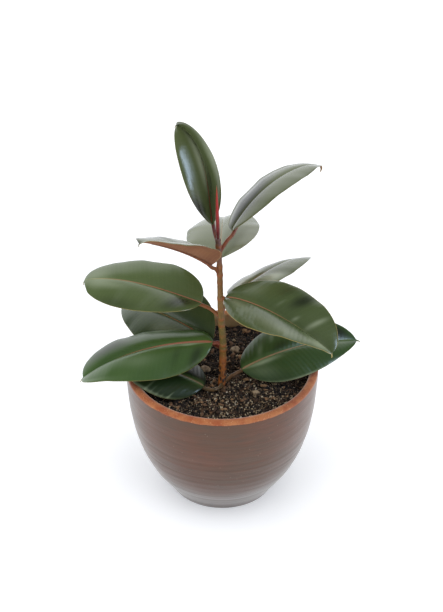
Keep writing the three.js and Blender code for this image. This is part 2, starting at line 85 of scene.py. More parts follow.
# Each leaf, from the top of the stem down. node: height where it leaves the stem. azimuth, sweep:
# bearing, and how far it turns on the way. rise, turn: the stalk's own slope and extra bearing at
# the stem. pitch, tip, bend: slope at the blade's base and tip, and how late it changes. roll,
# twist: lean about the midrib, and how it changes. left, right, leftTip, rightTip: fold of each half
# at the base and at the tip. curl: how each half curves down. belly, point: widest place, tip shape.
# hook: how far the last tenth turns down. age: hue from young olive, 0, to deep green, 1. tone: how
# light it is. red: how red its midrib is. ribbed: how strongly its side veins stand out. swell,
# swellOut: how far in mm each half swells up beside the midrib, and how far out. lipLeft, lipRight:
# how far in mm each edge turns down. margin: how yellow the edge is. wavy: strength of the slow
# waves. ribSpread: how wide the midrib's colour and the painted highlight beside it are.
LEAVES = {
    "a": dict(node=0.338, stalk=0.027, rise=20, turn=-20, azimuth=121, sweep=19, pitch=81, tip=-10,
              bend=3, length=0.133, width=0.062, belly=0.57, roll=-50, twist=-25, left=75, right=48,
              curl=24, hook=70, age=0.1, tone=0.75, red=1, ribbed=0.25, swell=1, wavy=0.3,
              ribSpread=2.2),
    "b": dict(node=0.329, stalk=0.029, rise=50, turn=-15, azimuth=43, pitch=48, tip=-30,
              length=0.157, width=0.07, belly=0.4, point=1.0, roll=-32, twist=18, left=14, right=21,
              leftTip=12, rightTip=12, curl=39, hook=130, age=0, tone=0.75, red=0.15, ribbed=0.2,
              swell=1.5, lipLeft=-2),
    "c": dict(node=0.311, stalk=0.012, rise=15, azimuth=88, pitch=8, tip=-35, length=0.14,
              width=0.084, belly=0.5, roll=-7, left=14, right=16, curl=44, age=0, tone=1, red=0.35,
              ribbed=0.3, lipRight=-0.8),
    "d": dict(node=0.3, stalk=0.02, rise=62, azimuth=214, pitch=47, tip=26, bend=0.7, length=0.118,
              width=0.07, point=0.5, roll=15, twist=10, left=48, right=47, leftTip=20, rightTip=24,
              curl=39, hook=170, age=0, tone=1, red=0.6, ribbed=0.2),
    "e": dict(node=0.241, stalk=0.028, rise=40, azimuth=160, pitch=10, tip=-25, bend=2,
              length=0.151, width=0.075, belly=0.41, point=0.45, roll=-10, left=28, right=32,
              leftTip=-14, rightTip=10, curl=36, hook=90, age=0.3, tone=0.9, red=0.85, ribbed=0.3,
              margin=0.6),
    "f": dict(node=0.198, stalk=0.017, rise=3, azimuth=136, pitch=7, tip=-27, bend=1.2,
              length=0.155, width=0.085, belly=0.42, roll=-21, left=2, right=54, leftTip=16,
              curl=44, age=0.5, tone=0.5, red=0.8, ribbed=0.4, margin=0.6),
    "g": dict(node=0.205, stalk=0.012, rise=20, azimuth=179, pitch=0, tip=-43, bend=1.1,
              length=0.167, width=0.077, belly=0.47, point=0.38, roll=-15, left=-24, right=-8,
              leftTip=42, rightTip=12, curl=44, age=0.8, tone=0.8, red=0.95, ribbed=0.5, swell=3.2,
              swellOut=12, margin=0.5),
    "h": dict(node=0.154, stalk=0.031, rise=2, turn=105, azimuth=160, sweep=-10, pitch=27, tip=-8,
              bend=0.6, length=0.112, width=0.076, roll=-8, twist=-6, left=0, right=2, leftTip=28,
              curl=32, age=0.9, tone=0.22, red=0.4, ribbed=0.6, swell=1.2, lipLeft=1.8),
    "i": dict(node=0.232, stalk=0.038, rise=88, azimuth=42, pitch=11, tip=-25, bend=2, length=0.121,
              width=0.073, point=0.55, roll=-26, twist=-8, left=12, right=6, curl=32, hook=40,
              age=0.1, tone=0.8, red=0.5, ribbed=0.3, swell=1.2),
    "j": dict(node=0.268, stalk=0.008, rise=30, azimuth=-35, pitch=26, tip=-24, bend=0.5,
              length=0.151, width=0.084, belly=0.52, point=0.5, roll=2, left=38, right=10,
              rightTip=46, curl=36, hook=85, age=0.3, tone=0.65, red=0.8, ribbed=0.5, margin=1),
    "k": dict(node=0.153, stalk=0.028, rise=34, azimuth=19, pitch=22, tip=-17, length=0.148,
              width=0.075, roll=24, left=4, right=5, leftTip=24, rightTip=35, curl=39, age=0.9,
              tone=0.55, red=0.45, ribbed=0.75),
}
LEAF_DEFAULTS = dict(turn=0, sweep=0, bend=1, hook=20, belly=0.46, point=0.72, twist=0, swell=0.9,
                     swellOut=7, lipLeft=0.4, lipRight=0.4, margin=0.25, wavy=1, ribSpread=1)
# Painted reflections and painted shade, as soft oval patches on the upper faces. Each: its place
# along the leaf and across it, where 1 is the left edge and -1 the right one, its reach along and
# across, and how much paler it is with painted reflection, or darker with painted shade below 0.
PAINTED_LIGHT_PATCHES = {
    "a": [(0.55, 0.08, 0.28, 0.22, 0.9), (0.52, -0.85, 0.2, 0.3, 0.5),
          (0.38, -0.35, 0.2, 0.3, -0.6), (0.15, 0.9, 0.12, 0.5, -0.8), (0.5, 0, 0.5, 0.06, 0.6)],
    "b": [(0.15, 0, 0.2, 0.6, -0.8), (0.3, 0.5, 0.25, 0.5, -0.7)],
    "c": [(0.12, -0.85, 0.22, 0.3, 0.5), (0.4, -0.4, 0.2, 0.2, -0.4), (0.75, -0.3, 0.2, 0.4, -0.2)],
    "d": [(0.6, -0.8, 0.4, 0.5, -0.6), (1, 0, 0.08, 1, -0.9)],
    "e": [(0.85, 0, 0.15, 0.8, 0.4), (0.65, 0.25, 0.15, 0.2, 0.3), (0.55, 0.9, 0.35, 0.3, -0.4),
          (0.1, 0.45, 0.1, 0.4, -0.7)],
    "f": [(0.34, 0.4, 0.25, 0.35, 0.4), (0.15, 0.3, 0.1, 0.2, 0.3), (0.12, 0.8, 0.12, 0.2, -0.6),
          (0.72, 0.6, 0.25, 0.6, -0.25)],
    "g": [(0.48, 0.4, 0.15, 0.25, 0.3), (0.08, 0.6, 0.05, 0.5, -0.6), (0.22, 0.4, 0.04, 0.4, -0.35),
          (0.14, 0.09, 0.16, 0.06, 0.9), (0.9, 0.9, 0.3, 0.1, 0.4), (0.3, -0.8, 0.12, 0.25, 0.5),
          (0.68, -0.6, 0.22, 0.4, -0.7)],
    "h": [(0.15, -0.5, 0.25, 0.5, -1), (0.2, 0.6, 0.1, 0.3, -0.3), (0.14, 0.85, 0.012, 0.2, 0.5),
          (0.2, 0.8, 0.01, 0.2, 0.3), (0.25, 0.75, 0.012, 0.25, 0.35), (0.31, 0.8, 0.01, 0.2, 0.3),
          (0.37, 0.8, 0.015, 0.3, 0.35), (0.3, 0.97, 0.3, 0.06, 0.5)],
    "i": [(0.2, 0.3, 0.2, 0.25, 0.8), (0.28, -0.65, 0.1, 0.35, 0.8), (0.85, -0.2, 0.15, 0.5, 0.3)],
    "j": [(0.4, 0.4, 0.02, 0.25, 0.3), (0.58, 0.15, 0.02, 0.15, 0.35),
          (0.7, 0.45, 0.025, 0.45, 0.45), (0.16, 0.5, 0.12, 0.4, 0.25),
          (0.48, 0.7, 0.06, 0.4, -0.7), (0.33, 0.75, 0.07, 0.3, -0.4),
          (0.12, -0.4, 0.12, 0.3, 0.35), (0.36, -0.55, 0.15, 0.3, 0.2),
          (0.58, -0.75, 0.17, 0.3, 0.3), (0.85, -0.5, 0.12, 0.5, 0.7)],
    "k": [(0.16, 0.35, 0.03, 0.3, 0.35), (0.25, 0.6, 0.025, 0.3, 0.35), (0.33, 0.2, 0.1, 0.2, -0.5),
          (0.16, -0.13, 0.16, 0.1, 0.7), (0.1, -0.5, 0.12, 0.4, 0.3), (0.3, -1, 0.3, 0.06, 0.6),
          (0.78, 0.4, 0.12, 0.5, -0.8), (0.8, -0.2, 0.12, 0.2, 0.5)],
}
for name, leaf in LEAVES.items():
    for key, value in LEAF_DEFAULTS.items():
        leaf.setdefault(key, value)
    leaf["patches"] = PAINTED_LIGHT_PATCHES[name]

PEBBLES = [                   # x, y, radius, flatness
    (-0.019, 0.008, 0.0055, 0.6), (0.015, 0.047, 0.005, 0.7), (0.038, -0.038, 0.0035, 0.7)]

# ---------- camera ----------

CAMERA_TARGET = Vector((-0.0008, 0, 0.2443))
CAMERA_ELEVATION = 35
CAMERA_DISTANCE = 2.9
CAMERA_LENS = 151.5


def make_camera():
    """Looks down along +Y at the plant from CAMERA_ELEVATION."""
    slope = np.radians(CAMERA_ELEVATION)
    back = Vector((0, -np.cos(slope), np.sin(slope)))
    data = bpy.data.cameras.new("camera")
    data.lens = CAMERA_LENS
    data.sensor_width = 36
    camera = bpy.data.objects.new("camera", data)
    camera.location = CAMERA_TARGET + CAMERA_DISTANCE * back
    camera.rotation_mode = "QUATERNION"
    camera.rotation_quaternion = (-back).to_track_quat("-Z", "Y")
    scene.collection.objects.link(camera)
    scene.camera = camera


make_camera()

# ---------- arithmetic ----------


def lerp(low, high, share):
    """The value this share of the way from low to high."""
    return low + (high - low) * share


def ease(share):
    """0 below 0, 1 above 1, and a smooth rise between them."""
    share = np.clip(share, 0, 1)
    return share * share * (3 - 2 * share)


def unit(vectors):
    """Vectors divided by their own lengths."""
    return vectors / np.linalg.norm(vectors, axis=-1, keepdims=True)


def ripple(points, size, seed, waves=24):
    """Soft random relief, mostly from -1 to 1: the sum of sine waves about `size` long that run in
    seeded directions, divided by the root of their number."""
    rng = np.random.default_rng(seed)
    directions = unit(rng.normal(size=(waves, 3)))
    lengths = size * rng.uniform(0.6, 1.6, waves)
    starts = rng.uniform(0, 2 * np.pi, waves)
    turns = points @ (directions / lengths[:, None]).T * 2 * np.pi + starts
    return np.sin(turns).sum(axis=-1) / np.sqrt(waves)


def smooth_curve(heights, known_heights, known):
    """Curve through known points: in each span, the cubic whose slopes are the neighbours' mean."""
    slopes = np.gradient(known, known_heights, axis=0)
    span = np.clip(np.searchsorted(known_heights, heights) - 1, 0, len(known_heights) - 2)
    size = known_heights[span + 1] - known_heights[span]
    s = np.clip((heights - known_heights[span]) / size, 0, 1)[:, None]
    size = size[:, None]
    return (known[span] * (1 + 2 * s) * (1 - s) ** 2 + known[span + 1] * s * s * (3 - 2 * s)
            + slopes[span] * size * s * (1 - s) ** 2 + slopes[span + 1] * size * s * s * (s - 1))


# ---------- mesh making ----------


def ring_quads(rings, sides):
    """Four-cornered faces between rings of points that close on themselves."""
    ring, side = np.meshgrid(np.arange(rings - 1), np.arange(sides), indexing="ij")
    after = (side + 1) % sides
    near, far = ring * sides, (ring + 1) * sides
    return np.stack([near + side, near + after, far + after, far + side], -1).reshape(-1, 4)


def closed_skin(rings, start, end):
    """Points and faces of a closed skin over rings of points, with a fan at each end. Each ring
    turns left about the way it travels, so the faces point out."""
    count, sides = rings.shape[:2]
    points = np.concatenate([rings.reshape(-1, 3), [start, end]])
    side = np.arange(sides)
    after = (side + 1) % sides
    low = np.stack([np.full(sides, count * sides), after, side], -1)
    last = (count - 1) * sides
    high = np.stack([np.full(sides, count * sides + 1), last + side, last + after], -1)
    return points, [*ring_quads(count, sides).tolist(), *low.tolist(), *high.tolist()]


def tube(middle, radius, side, up, sides):
    """Rings round a line: at each angle, the radius times side cosine plus up sine. The radius may
    change round a ring."""
    angle = (np.arange(sides) * 2 * np.pi / sides)[:, None]
    swing = np.cos(angle) * side[..., None, :] + np.sin(angle) * up[..., None, :]
    return middle[..., None, :] + radius[..., None] * swing


def turned(profile, sides):
    """Rings of a profile of [radius, height] points turned about the vertical axis."""
    return tube(profile[:, 1:] * Z_WAY, profile[:, :1], X_WAY, Y_WAY, sides)


def make_piece(name, points, faces, materials, nodes=(), attributes=None, looks=None):
    """One object of the plant at the origin, riding with the solid model."""
    mesh = bpy.data.meshes.new(name)
    mesh.from_pydata(points, [], faces)
    for material in materials:
        mesh.materials.append(material)
    if looks is not None:
        mesh.polygons.foreach_set("material_index", looks)
    mesh.polygons.foreach_set("use_smooth", np.ones(len(mesh.polygons), bool))
    for key, values in (attributes or {}).items():
        layer = mesh.attributes.new(key, "FLOAT", "POINT")
        layer.data.foreach_set("value", np.ascontiguousarray(values, np.float32).ravel())
    piece = bpy.data.objects.new(name, mesh)
    scene.collection.objects.link(piece)
    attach(piece, "root")
    if nodes:
        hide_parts(*nodes)


def make_skin(name, rings, start, end, materials, nodes=(), attributes=None, looks=None):
    """A piece that is one closed skin. Attributes are given for its rings or its points, and the end
    points take theirs from the first and the last ring."""
    points, faces = closed_skin(rings, start, end)
    full = {}
    for key, values in (attributes or {}).items():
        values = np.broadcast_to(values, rings.shape[:2])
        full[key] = np.concatenate([values.ravel(), values[[0, -1], 0]])
    make_piece(name, points, faces, materials, nodes, full, looks)


# ---------- shader building ----------


def colour(code):
    """Linear colour of a hexadecimal screen colour."""
    parts = np.array([code >> 16, code >> 8 & 255, code & 255]) / 255
    linear = np.where(parts < 0.04045, parts / 12.92, ((parts + 0.055) / 1.055) ** 2.4)
    return (*linear.tolist(), 1.0)


class Shade:
    """Adds nodes to the tree of one material or group, and joins them."""

    def __init__(self, tree):
        self.tree = tree

    def node(self, kind, inputs=None, **settings):
        """A new node of this kind, with values put on its sockets and its settings set."""
        made = self.tree.nodes.new("ShaderNode" + kind)
        for key, value in settings.items():
            setattr(made, key, value)
        self.fill(made, inputs or {})
        return made

    def put(self, value, socket):
        """Joins an output to a socket, or sets the socket to a plain value."""
        if isinstance(value, bpy.types.NodeSocket):
            self.tree.links.new(value, socket)
        else:
            socket.default_value = value

    def fill(self, node, values):
        for key, value in values.items():
            self.put(value, node.inputs[key])

    def show(self, **values):
        """Puts values on the sockets of the material's Principled shader."""
        surface = self.tree.nodes["Principled BSDF"]
        self.fill(surface, {key.replace("_", " "): value for key, value in values.items()})

    def math(self, operation, *values):
        return self.node("Math", dict(enumerate(values)), operation=operation).outputs[0]

    def mix(self, share, first, second):
        """A mix of two colours, each an output or a screen colour."""
        first, second = (colour(part) if isinstance(part, int) else part
                         for part in (first, second))
        return self.node("Mix", {0: share, 6: first, 7: second}, data_type="RGBA").outputs[2]

    def over(self, under, top, mask, strength=1):
        """The top colour laid over the one under it, as far as the mask times the strength."""
        return self.mix(self.math("MULTIPLY", mask, strength), under, top)

    def rise(self, value, low, high):
        """0 where value is low or less, 1 where it is high or more, smooth between them."""
        return self.node("MapRange", {"Value": value, "From Min": low, "From Max": high},
                         interpolation_type="SMOOTHSTEP").outputs[0]

    def fall(self, value, low, high):
        """1 where value is low or less, 0 where it is high or more, smooth between them."""
        return self.math("SUBTRACT", 1, self.rise(value, low, high))

    def ramp(self, value, *stops):
        """Colour at a value from 0 to 1, between stops of (place, screen colour)."""
        made = self.node("ValToRGB", {"Fac": value})
        elements = made.color_ramp.elements
        while len(elements) < len(stops):
            elements.new(1.0)
        for element, (place, code) in zip(elements, stops):
            element.position = place
            element.color = colour(code)
        return made.outputs["Color"]

    def place(self):
        """A point's own place on the plant, in metres."""
        return self.node("TexCoord").outputs["Object"]

    def height(self, place):
        return self.node("SeparateXYZ", {"Vector": place}).outputs["Z"]

    def attribute(self, name):
        return self.node("Attribute", attribute_name=name).outputs["Fac"]

    def stretched(self, place, *scale):
        """The place with each part multiplied by its scale: below 1 it draws a pattern out."""
        return self.node("Mapping", {"Vector": place, "Scale": scale}).outputs["Vector"]

    def noise(self, place, scale, detail):
        values = {"Vector": place, "Scale": scale, "Detail": detail}
        return self.node("TexNoise", values).outputs["Fac"]

    def bump(self, height, distance, under=None):
        """Normal of a relief this many metres high, over another normal if one is given."""
        made = self.node("Bump", {"Height": height, "Distance": distance})
        if under:
            self.put(under, made.inputs["Normal"])
        return made.outputs["Normal"]

    def use(self, group, **values):
        """Outputs of a node group placed with these values."""
        return self.node("Group", values, node_tree=group).outputs

    def mottle(self, place, scale, low, high):
        return self.use(MOTTLE, Place=place, Scale=scale, Low=low, High=high)[0]

    def specks(self, place, scale, size, share):
        return self.use(SPECKS, Place=place, Scale=scale, Size=size, Share=share)[0]

    def grain(self, place, scale, depth):
        return self.use(GRAIN, Place=place, Scale=scale, Depth=depth)[0]

    def marks(self):
        """Masks of a blade's veins, midrib and margin."""
        return self.use(LEAF_MARKS, Vein=self.attribute("vein"), Rib=self.attribute("rib"),
                        Edge=self.attribute("edge"))


def new_group(name, inputs, outputs):
    """An empty node group with the sockets named, vectors where the name is Place or Normal: its
    Shade, its entry and its exit."""
    tree = bpy.data.node_groups.new(name, "ShaderNodeTree")
    for way, sockets in (("INPUT", inputs), ("OUTPUT", outputs)):
        for key in sockets.split():
            kind = "Vector" if key in ("Place", "Normal") else "Float"
            tree.interface.new_socket(key, in_out=way, socket_type="NodeSocket" + kind)
    entry = tree.nodes.new("NodeGroupInput").outputs
    leave = tree.nodes.new("NodeGroupOutput").inputs
    return Shade(tree), entry, leave


def new_finish(name, **settings):
    """A material with some sockets of its Principled shader set, and the Shade that adds to it."""
    material = bpy.data.materials.new(name)
    material.use_nodes = True
    shade = Shade(material.node_tree)
    shade.show(**settings)
    return material, shade


def make_mottle():
    """Soft patches: noise of the given scale, 0 where it is Low or less and 1 where it is High."""
    shade, given, result = new_group("mottle", "Place Scale Low High", "Mask")
    noise = shade.noise(given["Place"], given["Scale"], 4)
    shade.put(shade.rise(noise, given["Low"], given["High"]), result["Mask"])
    return shade.tree


def make_grain():
    """Fine relief: noise of the given scale, as bumps of the given depth in metres."""
    shade, given, result = new_group("grain", "Place Scale Depth", "Normal")
    noise = shade.noise(given["Place"], given["Scale"], 5)
    shade.put(shade.bump(noise, given["Depth"]), result["Normal"])
    return shade.tree


def make_specks():
    """Round specks in random places: 1 inside a share of the cells of the given scale."""
    shade, given, result = new_group("specks", "Place Scale Size Share", "Mask")
    cells = shade.node("TexVoronoi", {"Vector": given["Place"], "Scale": given["Scale"]}).outputs
    inner = shade.math("MULTIPLY", given["Size"], 0.6)
    near = shade.fall(cells["Distance"], inner, given["Size"])
    draw = shade.node("SeparateColor", {"Color": cells["Color"]}).outputs[0]
    chosen = shade.math("LESS_THAN", draw, given["Share"])
    shade.put(shade.math("MULTIPLY", near, chosen), result["Mask"])
    return shade.tree


def make_leaf_marks():
    """Masks of a blade's side veins, midrib and margin, from how far a point lies from each."""
    shade, given, result = new_group("leaf_marks", "Vein Rib Edge", "Veins Midrib Margin")

    def lines(spacing, sharpness):
        wave = shade.math("COSINE", shade.math("MULTIPLY", given["Vein"], 2 * np.pi * MM / spacing))
        return shade.rise(wave, sharpness, 1)

    fine, plain = lines(FINE_VEIN_SPACING, 0.5), lines(VEIN_SPACING, 0.7)
    shade.put(shade.math("MULTIPLY_ADD", fine, 0.45, plain), result["Veins"])
    shade.put(shade.fall(given["Rib"], *MIDRIB_EDGE), result["Midrib"])
    shade.put(shade.fall(given["Edge"], *MARGIN_EDGE), result["Margin"])
    return shade.tree


VEIN_SPACING, FINE_VEIN_SPACING = 5.2 * MM, 1.9 * MM
MIDRIB_EDGE = (0.6, 1.15)     # where the midrib's colour fades, in half widths of the midrib
MARGIN_EDGE = (0.3, 0.75)     # where the margin's colour fades, in mm from the edge
MOTTLE, GRAIN, SPECKS, LEAF_MARKS = make_mottle(), make_grain(), make_specks(), make_leaf_marks()

# ---------- pot ----------

POT_SIDES = 288
SIDE_STEPS, LIP_STEPS, INSIDE_STEPS = 150, 20, 34
# height and width in metres, and depth in mm, of the lines that the potter's fingers left
THROWN_LINES = [
    (0.0045, 0.0016, 0.30), (0.0150, 0.0022, 0.20), (0.0240, 0.0020, -0.25), (0.0340, 0.0025, 0.30),
    (0.0470, 0.0030, -0.20), (0.0600, 0.0026, 0.20), (0.0735, 0.0022, -0.25), (0.0860, 0.0030, 0.20),
    (0.0985, 0.0024, -0.15), (0.1130, 0.0034, 0.15), (0.1300, 0.0030, -0.10), (0.1450, 0.0036, 0.10)]


def side_curve(t):
    """The pot's side: the cubic curve of radius and height from base to rim with two pulling
    points, and its direction."""
    t = t[:, None]
    a, b, c, d = (np.array(p) for p in (
        (BASE_RADIUS, 0), BELLY_LOW, BELLY_HIGH, (RIM_RADIUS, RIM_LINE)))
    place = (1 - t) ** 3 * a + 3 * t * (1 - t) ** 2 * b + 3 * t * t * (1 - t) * c + t ** 3 * d
    way = (1 - t) ** 2 * (b - a) + 2 * t * (1 - t) * (c - b) + t * t * (d - c)
    return place, unit(way)


def pot_profile():
    """The side's curve, half a flattened circle for the lip, the side's curve again one wall
    further in, and the floor's corner. Girth is each point's distance along this from the line
    where the brown slip stops."""
    side, _ = side_curve(np.linspace(0, 1, SIDE_STEPS))
    angle = np.linspace(0, np.pi, LIP_STEPS)[1:-1]
    lip = np.stack([RIM_RADIUS - LIP + LIP * np.cos(angle),
                    RIM_LINE + LIP_FLATNESS * LIP * np.sin(angle)], -1)
    wall, way = side_curve(np.linspace(1, 0, INSIDE_STEPS))
    wall = wall + WALL * np.stack([-way[:, 1], way[:, 0]], -1)
    wall = wall[wall[:, 1] > FLOOR + CORNER[1]]
    corner = [(wall[-1, 0] - CORNER[0], FLOOR)]
    profile = np.concatenate([side, lip, wall, corner])
    steps = np.linalg.norm(np.diff(profile, axis=0), axis=1)
    girth = np.concatenate([[0], np.cumsum(steps)])
    return profile, girth - girth[SIDE_STEPS - 1] + SLIP_STOP


SLIP_STOP = 1.5 * MM          # the bare clay starts this far below the rim line
SLIP_WAVER = 0.5 * MM
LINE_DRIFT = 0.9 * MM         # how far a finger line wanders up and down round the pot
WOBBLE, UNEVEN = 0.22 * MM, (0.16 * MM, 0.05)          # twice round the pot; depth, size
RELIEF_STARTS = 4 * MM        # the side's relief grows over this height above the base
RELIEF_ENDS = 6 * MM          # and dies away over this height below the rim


def pot_relief(rings):
    """How far the side stands out: a bell curve over height for each finger line, which drifts and
    fades round the pot, a slow wave twice round it, and soft random relief."""
    x, y, z = rings[..., 0], rings[..., 1], rings[..., 2]
    angle = np.arctan2(y, x)
    relief = np.zeros(z.shape)
    for number, (height, width, depth) in enumerate(THROWN_LINES):
        drift = LINE_DRIFT * np.sin(angle + 1.7 * number)
        fade = 0.65 + 0.35 * np.sin(2 * angle + 2.3 * number)
        relief += depth * MM * fade * np.exp(-((z - height - drift) / width) ** 2)
    relief += WOBBLE * np.sin(2 * angle + 1) + UNEVEN[0] * ripple(rings, UNEVEN[1], 3)
    return relief * ease(z / RELIEF_STARTS) * ease((RIM_LINE + LIP - z) / RELIEF_ENDS)


def clay_finish():
    """Brown slip with a satin face over orange clay, which is bare at the rim."""
    material, shade = new_finish("fired_clay", IOR=1.35, Sheen_Weight=0.6, Sheen_Roughness=0.4)
    place, girth = shade.place(), shade.attribute("girth")
    height, flat = shade.height(place), shade.stretched(place, 1, 1, 7)
    brown = shade.mix(shade.mottle(place, 11, 0.36, 0.64), 0x5c3a28, 0x543c2c)
    brown = shade.over(brown, 0x643c2a, shade.mottle(flat, 22, 0.4, 0.75), 0.6)
    brown = shade.over(brown, 0x48382e, shade.mottle(flat, 60, 0.5, 0.75), 0.6)
    # painted shade, darker towards the bottom of the side
    brown = shade.over(brown, 0x342a24, shade.fall(height, *PAINTED_SHADE_BAND), 0.25)
    # painted reflection of the pale floor, greyer at the foot
    brown = shade.over(brown, 0x6a625e, shade.fall(height, *FLOOR_REFLECTION_BAND), 0.75)
    brown = shade.over(brown, 0xb0a090, shade.specks(place, 420, 0.32, 0.03), 0.2)
    orange = shade.mix(shade.mottle(place, 70, 0.35, 0.68), 0x964e2a, 0xac6c40)
    orange = shade.over(orange, 0x74381e, shade.specks(place, 900, 0.4, 0.25), 0.6)
    orange = shade.over(orange, 0xcc9a72, shade.specks(place, 700, 0.45, 0.2), 0.45)
    orange = shade.over(orange, 0xa88e66, shade.rise(girth, *INSIDE_STAIN),
                        shade.mottle(place, 90, 0.25, 0.55))
    start = shade.math("MULTIPLY_ADD", shade.noise(place, 160, 3), 4 * SLIP_WAVER, girth)
    bare = shade.rise(start, 2 * SLIP_WAVER, 2.6 * SLIP_WAVER)
    scorched = shade.math("MULTIPLY", shade.rise(start, SLIP_WAVER, 2 * SLIP_WAVER),
                          shade.math("SUBTRACT", 1, bare))
    worn = shade.math("MULTIPLY_ADD", shade.mottle(flat, 30, 0.3, 0.7), 0.1, 0.42)
    turning = shade.bump(shade.noise(shade.stretched(place, 4, 4, 420), 1, 3), 0.16 * MM)
    shade.show(Base_Color=shade.mix(bare, shade.over(brown, 0x471d12, scorched), orange),
               Roughness=shade.math("MULTIPLY_ADD", bare, 0.3, worn),
               Normal=shade.bump(shade.noise(place, 1400, 4), 0.05 * MM, turning))
    return material


PAINTED_SHADE_BAND = (0.050, 0.115)   # heights between which the painted shade on the side's lower part fades out
FLOOR_REFLECTION_BAND = (0.028, 0.052)    # and those between which the foot's greyer painted reflection of the pale floor does
INSIDE_STAIN = (0.009, 0.015)  # the stained inside starts this far over the rim


def make_pot():
    """The profile turned about the axis, and pushed out by the side's relief."""
    profile, girth = pot_profile()
    rings = turned(profile, POT_SIDES)
    outward = unit(rings * (1, 1, 0))
    rings = rings + outward * pot_relief(rings)[..., None]
    make_skin("pot_body", rings, (0, 0, 0), (0, 0, FLOOR), [clay_finish()], ["pot"],
              {"girth": girth[:, None]})


make_pot()

# ---------- stem ----------

STEM_SIDES, STEM_RINGS = 48, 520
BARE_SCARS = [0.185, 0.218, 0.255, 0.290, 0.326]      # heights of scars that carry no leaf now
SCARS = np.array([leaf["node"] for leaf in LEAVES.values()] + BARE_SCARS)
SCAR_PROUD = np.array([0.45] * len(LEAVES) + [0.25] * len(BARE_SCARS)) * MM
SCAR_WIDTH = 2.6 * MM
CRACKED_TO = (0.172, 0.188)   # heights between which the foot's cracks fade out
ROUGH_TO = (0.165, 0.195)     # and those between which its bark grows smooth
BARK_DEPTH, BARK_SIZE = (0.28 * MM, 0.08 * MM), 0.0035        # at the foot and above
FLUTES = (0.10 * MM, 0.006, 0.2)                      # depth, size, and how much they are drawn out


def stem_at(height):
    """Middle of the stem at each height: the smooth curve through its route."""
    height = np.atleast_1d(height)
    return smooth_curve(height, STEM_ROUTE[:, 2], STEM_ROUTE)


def stem_radius(height):
    """A radius that falls evenly with height, plus the highest of the bell curves at the scars."""
    share = np.clip((height - STEM_LOW[0]) / (STEM_HIGH[0] - STEM_LOW[0]), 0, 1)
    bells = SCAR_PROUD * np.exp(-((height[:, None] - SCARS) / SCAR_WIDTH) ** 2)
    return lerp(STEM_LOW[1], STEM_HIGH[1], share) + bells.max(axis=1)


def stem_finish():
    """Green-brown young bark, orange at the scars and the foot, purple-brown near the top."""
    material, shade = new_finish("stem_bark", Roughness=0.55, IOR=1.45)
    place = shade.place()
    height, long = shade.height(place), shade.stretched(place, 1, 1, 0.25)
    share = shade.node("MapRange", {"Value": height, "From Min": SOIL_LEVEL, "From Max": STEM_TOP})
    bark = shade.ramp(
        share.outputs[0], (0.0, 0x945218), (0.20, 0x884e18), (0.26, 0x5c501c), (0.42, 0x62541c),
        (0.50, 0x6c521e), (0.60, 0x765624), (0.76, 0x785226), (0.84, 0x724a28), (0.88, 0x6e4c44),
        (1.0, 0x5c3c3c))
    bark = shade.over(bark, 0x8c4c1e, shade.attribute("scar"), 0.8)
    bark = shade.over(bark, 0x584222, shade.mottle(long, 260, 0.5, 0.72), 0.5)
    bark = shade.over(bark, 0x94703a, shade.mottle(place, 420, 0.52, 0.7), 0.4)
    cracks = shade.specks(shade.stretched(place, 1, 1, 0.6), 330, 0.62, 0.42)
    bark = shade.over(bark, 0x352418, cracks, shade.fall(height, *CRACKED_TO))
    pores = shade.specks(shade.stretched(place, 1, 1, 0.7), 620, 0.4, 0.16)
    bark = shade.over(bark, 0xa08450, pores, 0.3)
    shade.show(Base_Color=bark, Normal=shade.grain(long, 700, 0.25 * MM))
    return material


def make_stem():
    """Rings up the route: the plain radius and scar rings, long low flutes, and bark roughness that
    is deepest at the foot."""
    height = np.linspace(STEM_FOOT, STEM_TOP, STEM_RINGS)
    middle, radius = stem_at(height), stem_radius(height)[:, None]
    plain = tube(middle, radius, X_WAY, Y_WAY, STEM_SIDES)
    depth, size, drawn_out = FLUTES
    flutes = depth * ripple(plain * (1, 1, drawn_out), size, 11)
    smooth = ease((height - ROUGH_TO[0]) / (ROUGH_TO[1] - ROUGH_TO[0]))
    bark = lerp(*BARK_DEPTH, smooth)[:, None] * ripple(plain, BARK_SIZE, 12)
    rings = tube(middle, radius + flutes + bark, X_WAY, Y_WAY, STEM_SIDES)
    near = SCAR_PROUD / SCAR_PROUD.max() * np.exp(
        -((height[:, None] - SCARS) / (0.8 * SCAR_WIDTH)) ** 2)
    make_skin("stem_bark", rings, middle[0], middle[-1] + 1.5 * MM * Z_WAY, [stem_finish()],
              ["stem"], {"scar": near.max(axis=1)[:, None]})


make_stem()

# ---------- leaves ----------

OVAL_END = 0.96               # share of the blade where its oval outline closes
BASE_ROUND, BASE_FULL = 2.2, 0.66
TIP_ROUND = 2.1
TAIL_START, TAIL_FULL = 0.86, 0.93        # the drip tip swells out of the oval between these
TAIL_TAPER, TAIL_SHAPE = 0.92, 0.8        # and narrows from here, along this power
TAIL_RADIUS, TAIL_BLEND = 2.6 * MM, 3
LEAST_RADIUS = 0.9 * MM
TIP_POINT = 0.25 * MM         # half the drip tip's width at its very end
HOOK_START, STALK_EASE, NARROW_CURL = 0.9, 2.5, 0.35
VEIN_SLANT = 0.42             # how far a side vein runs forward for each step outwards

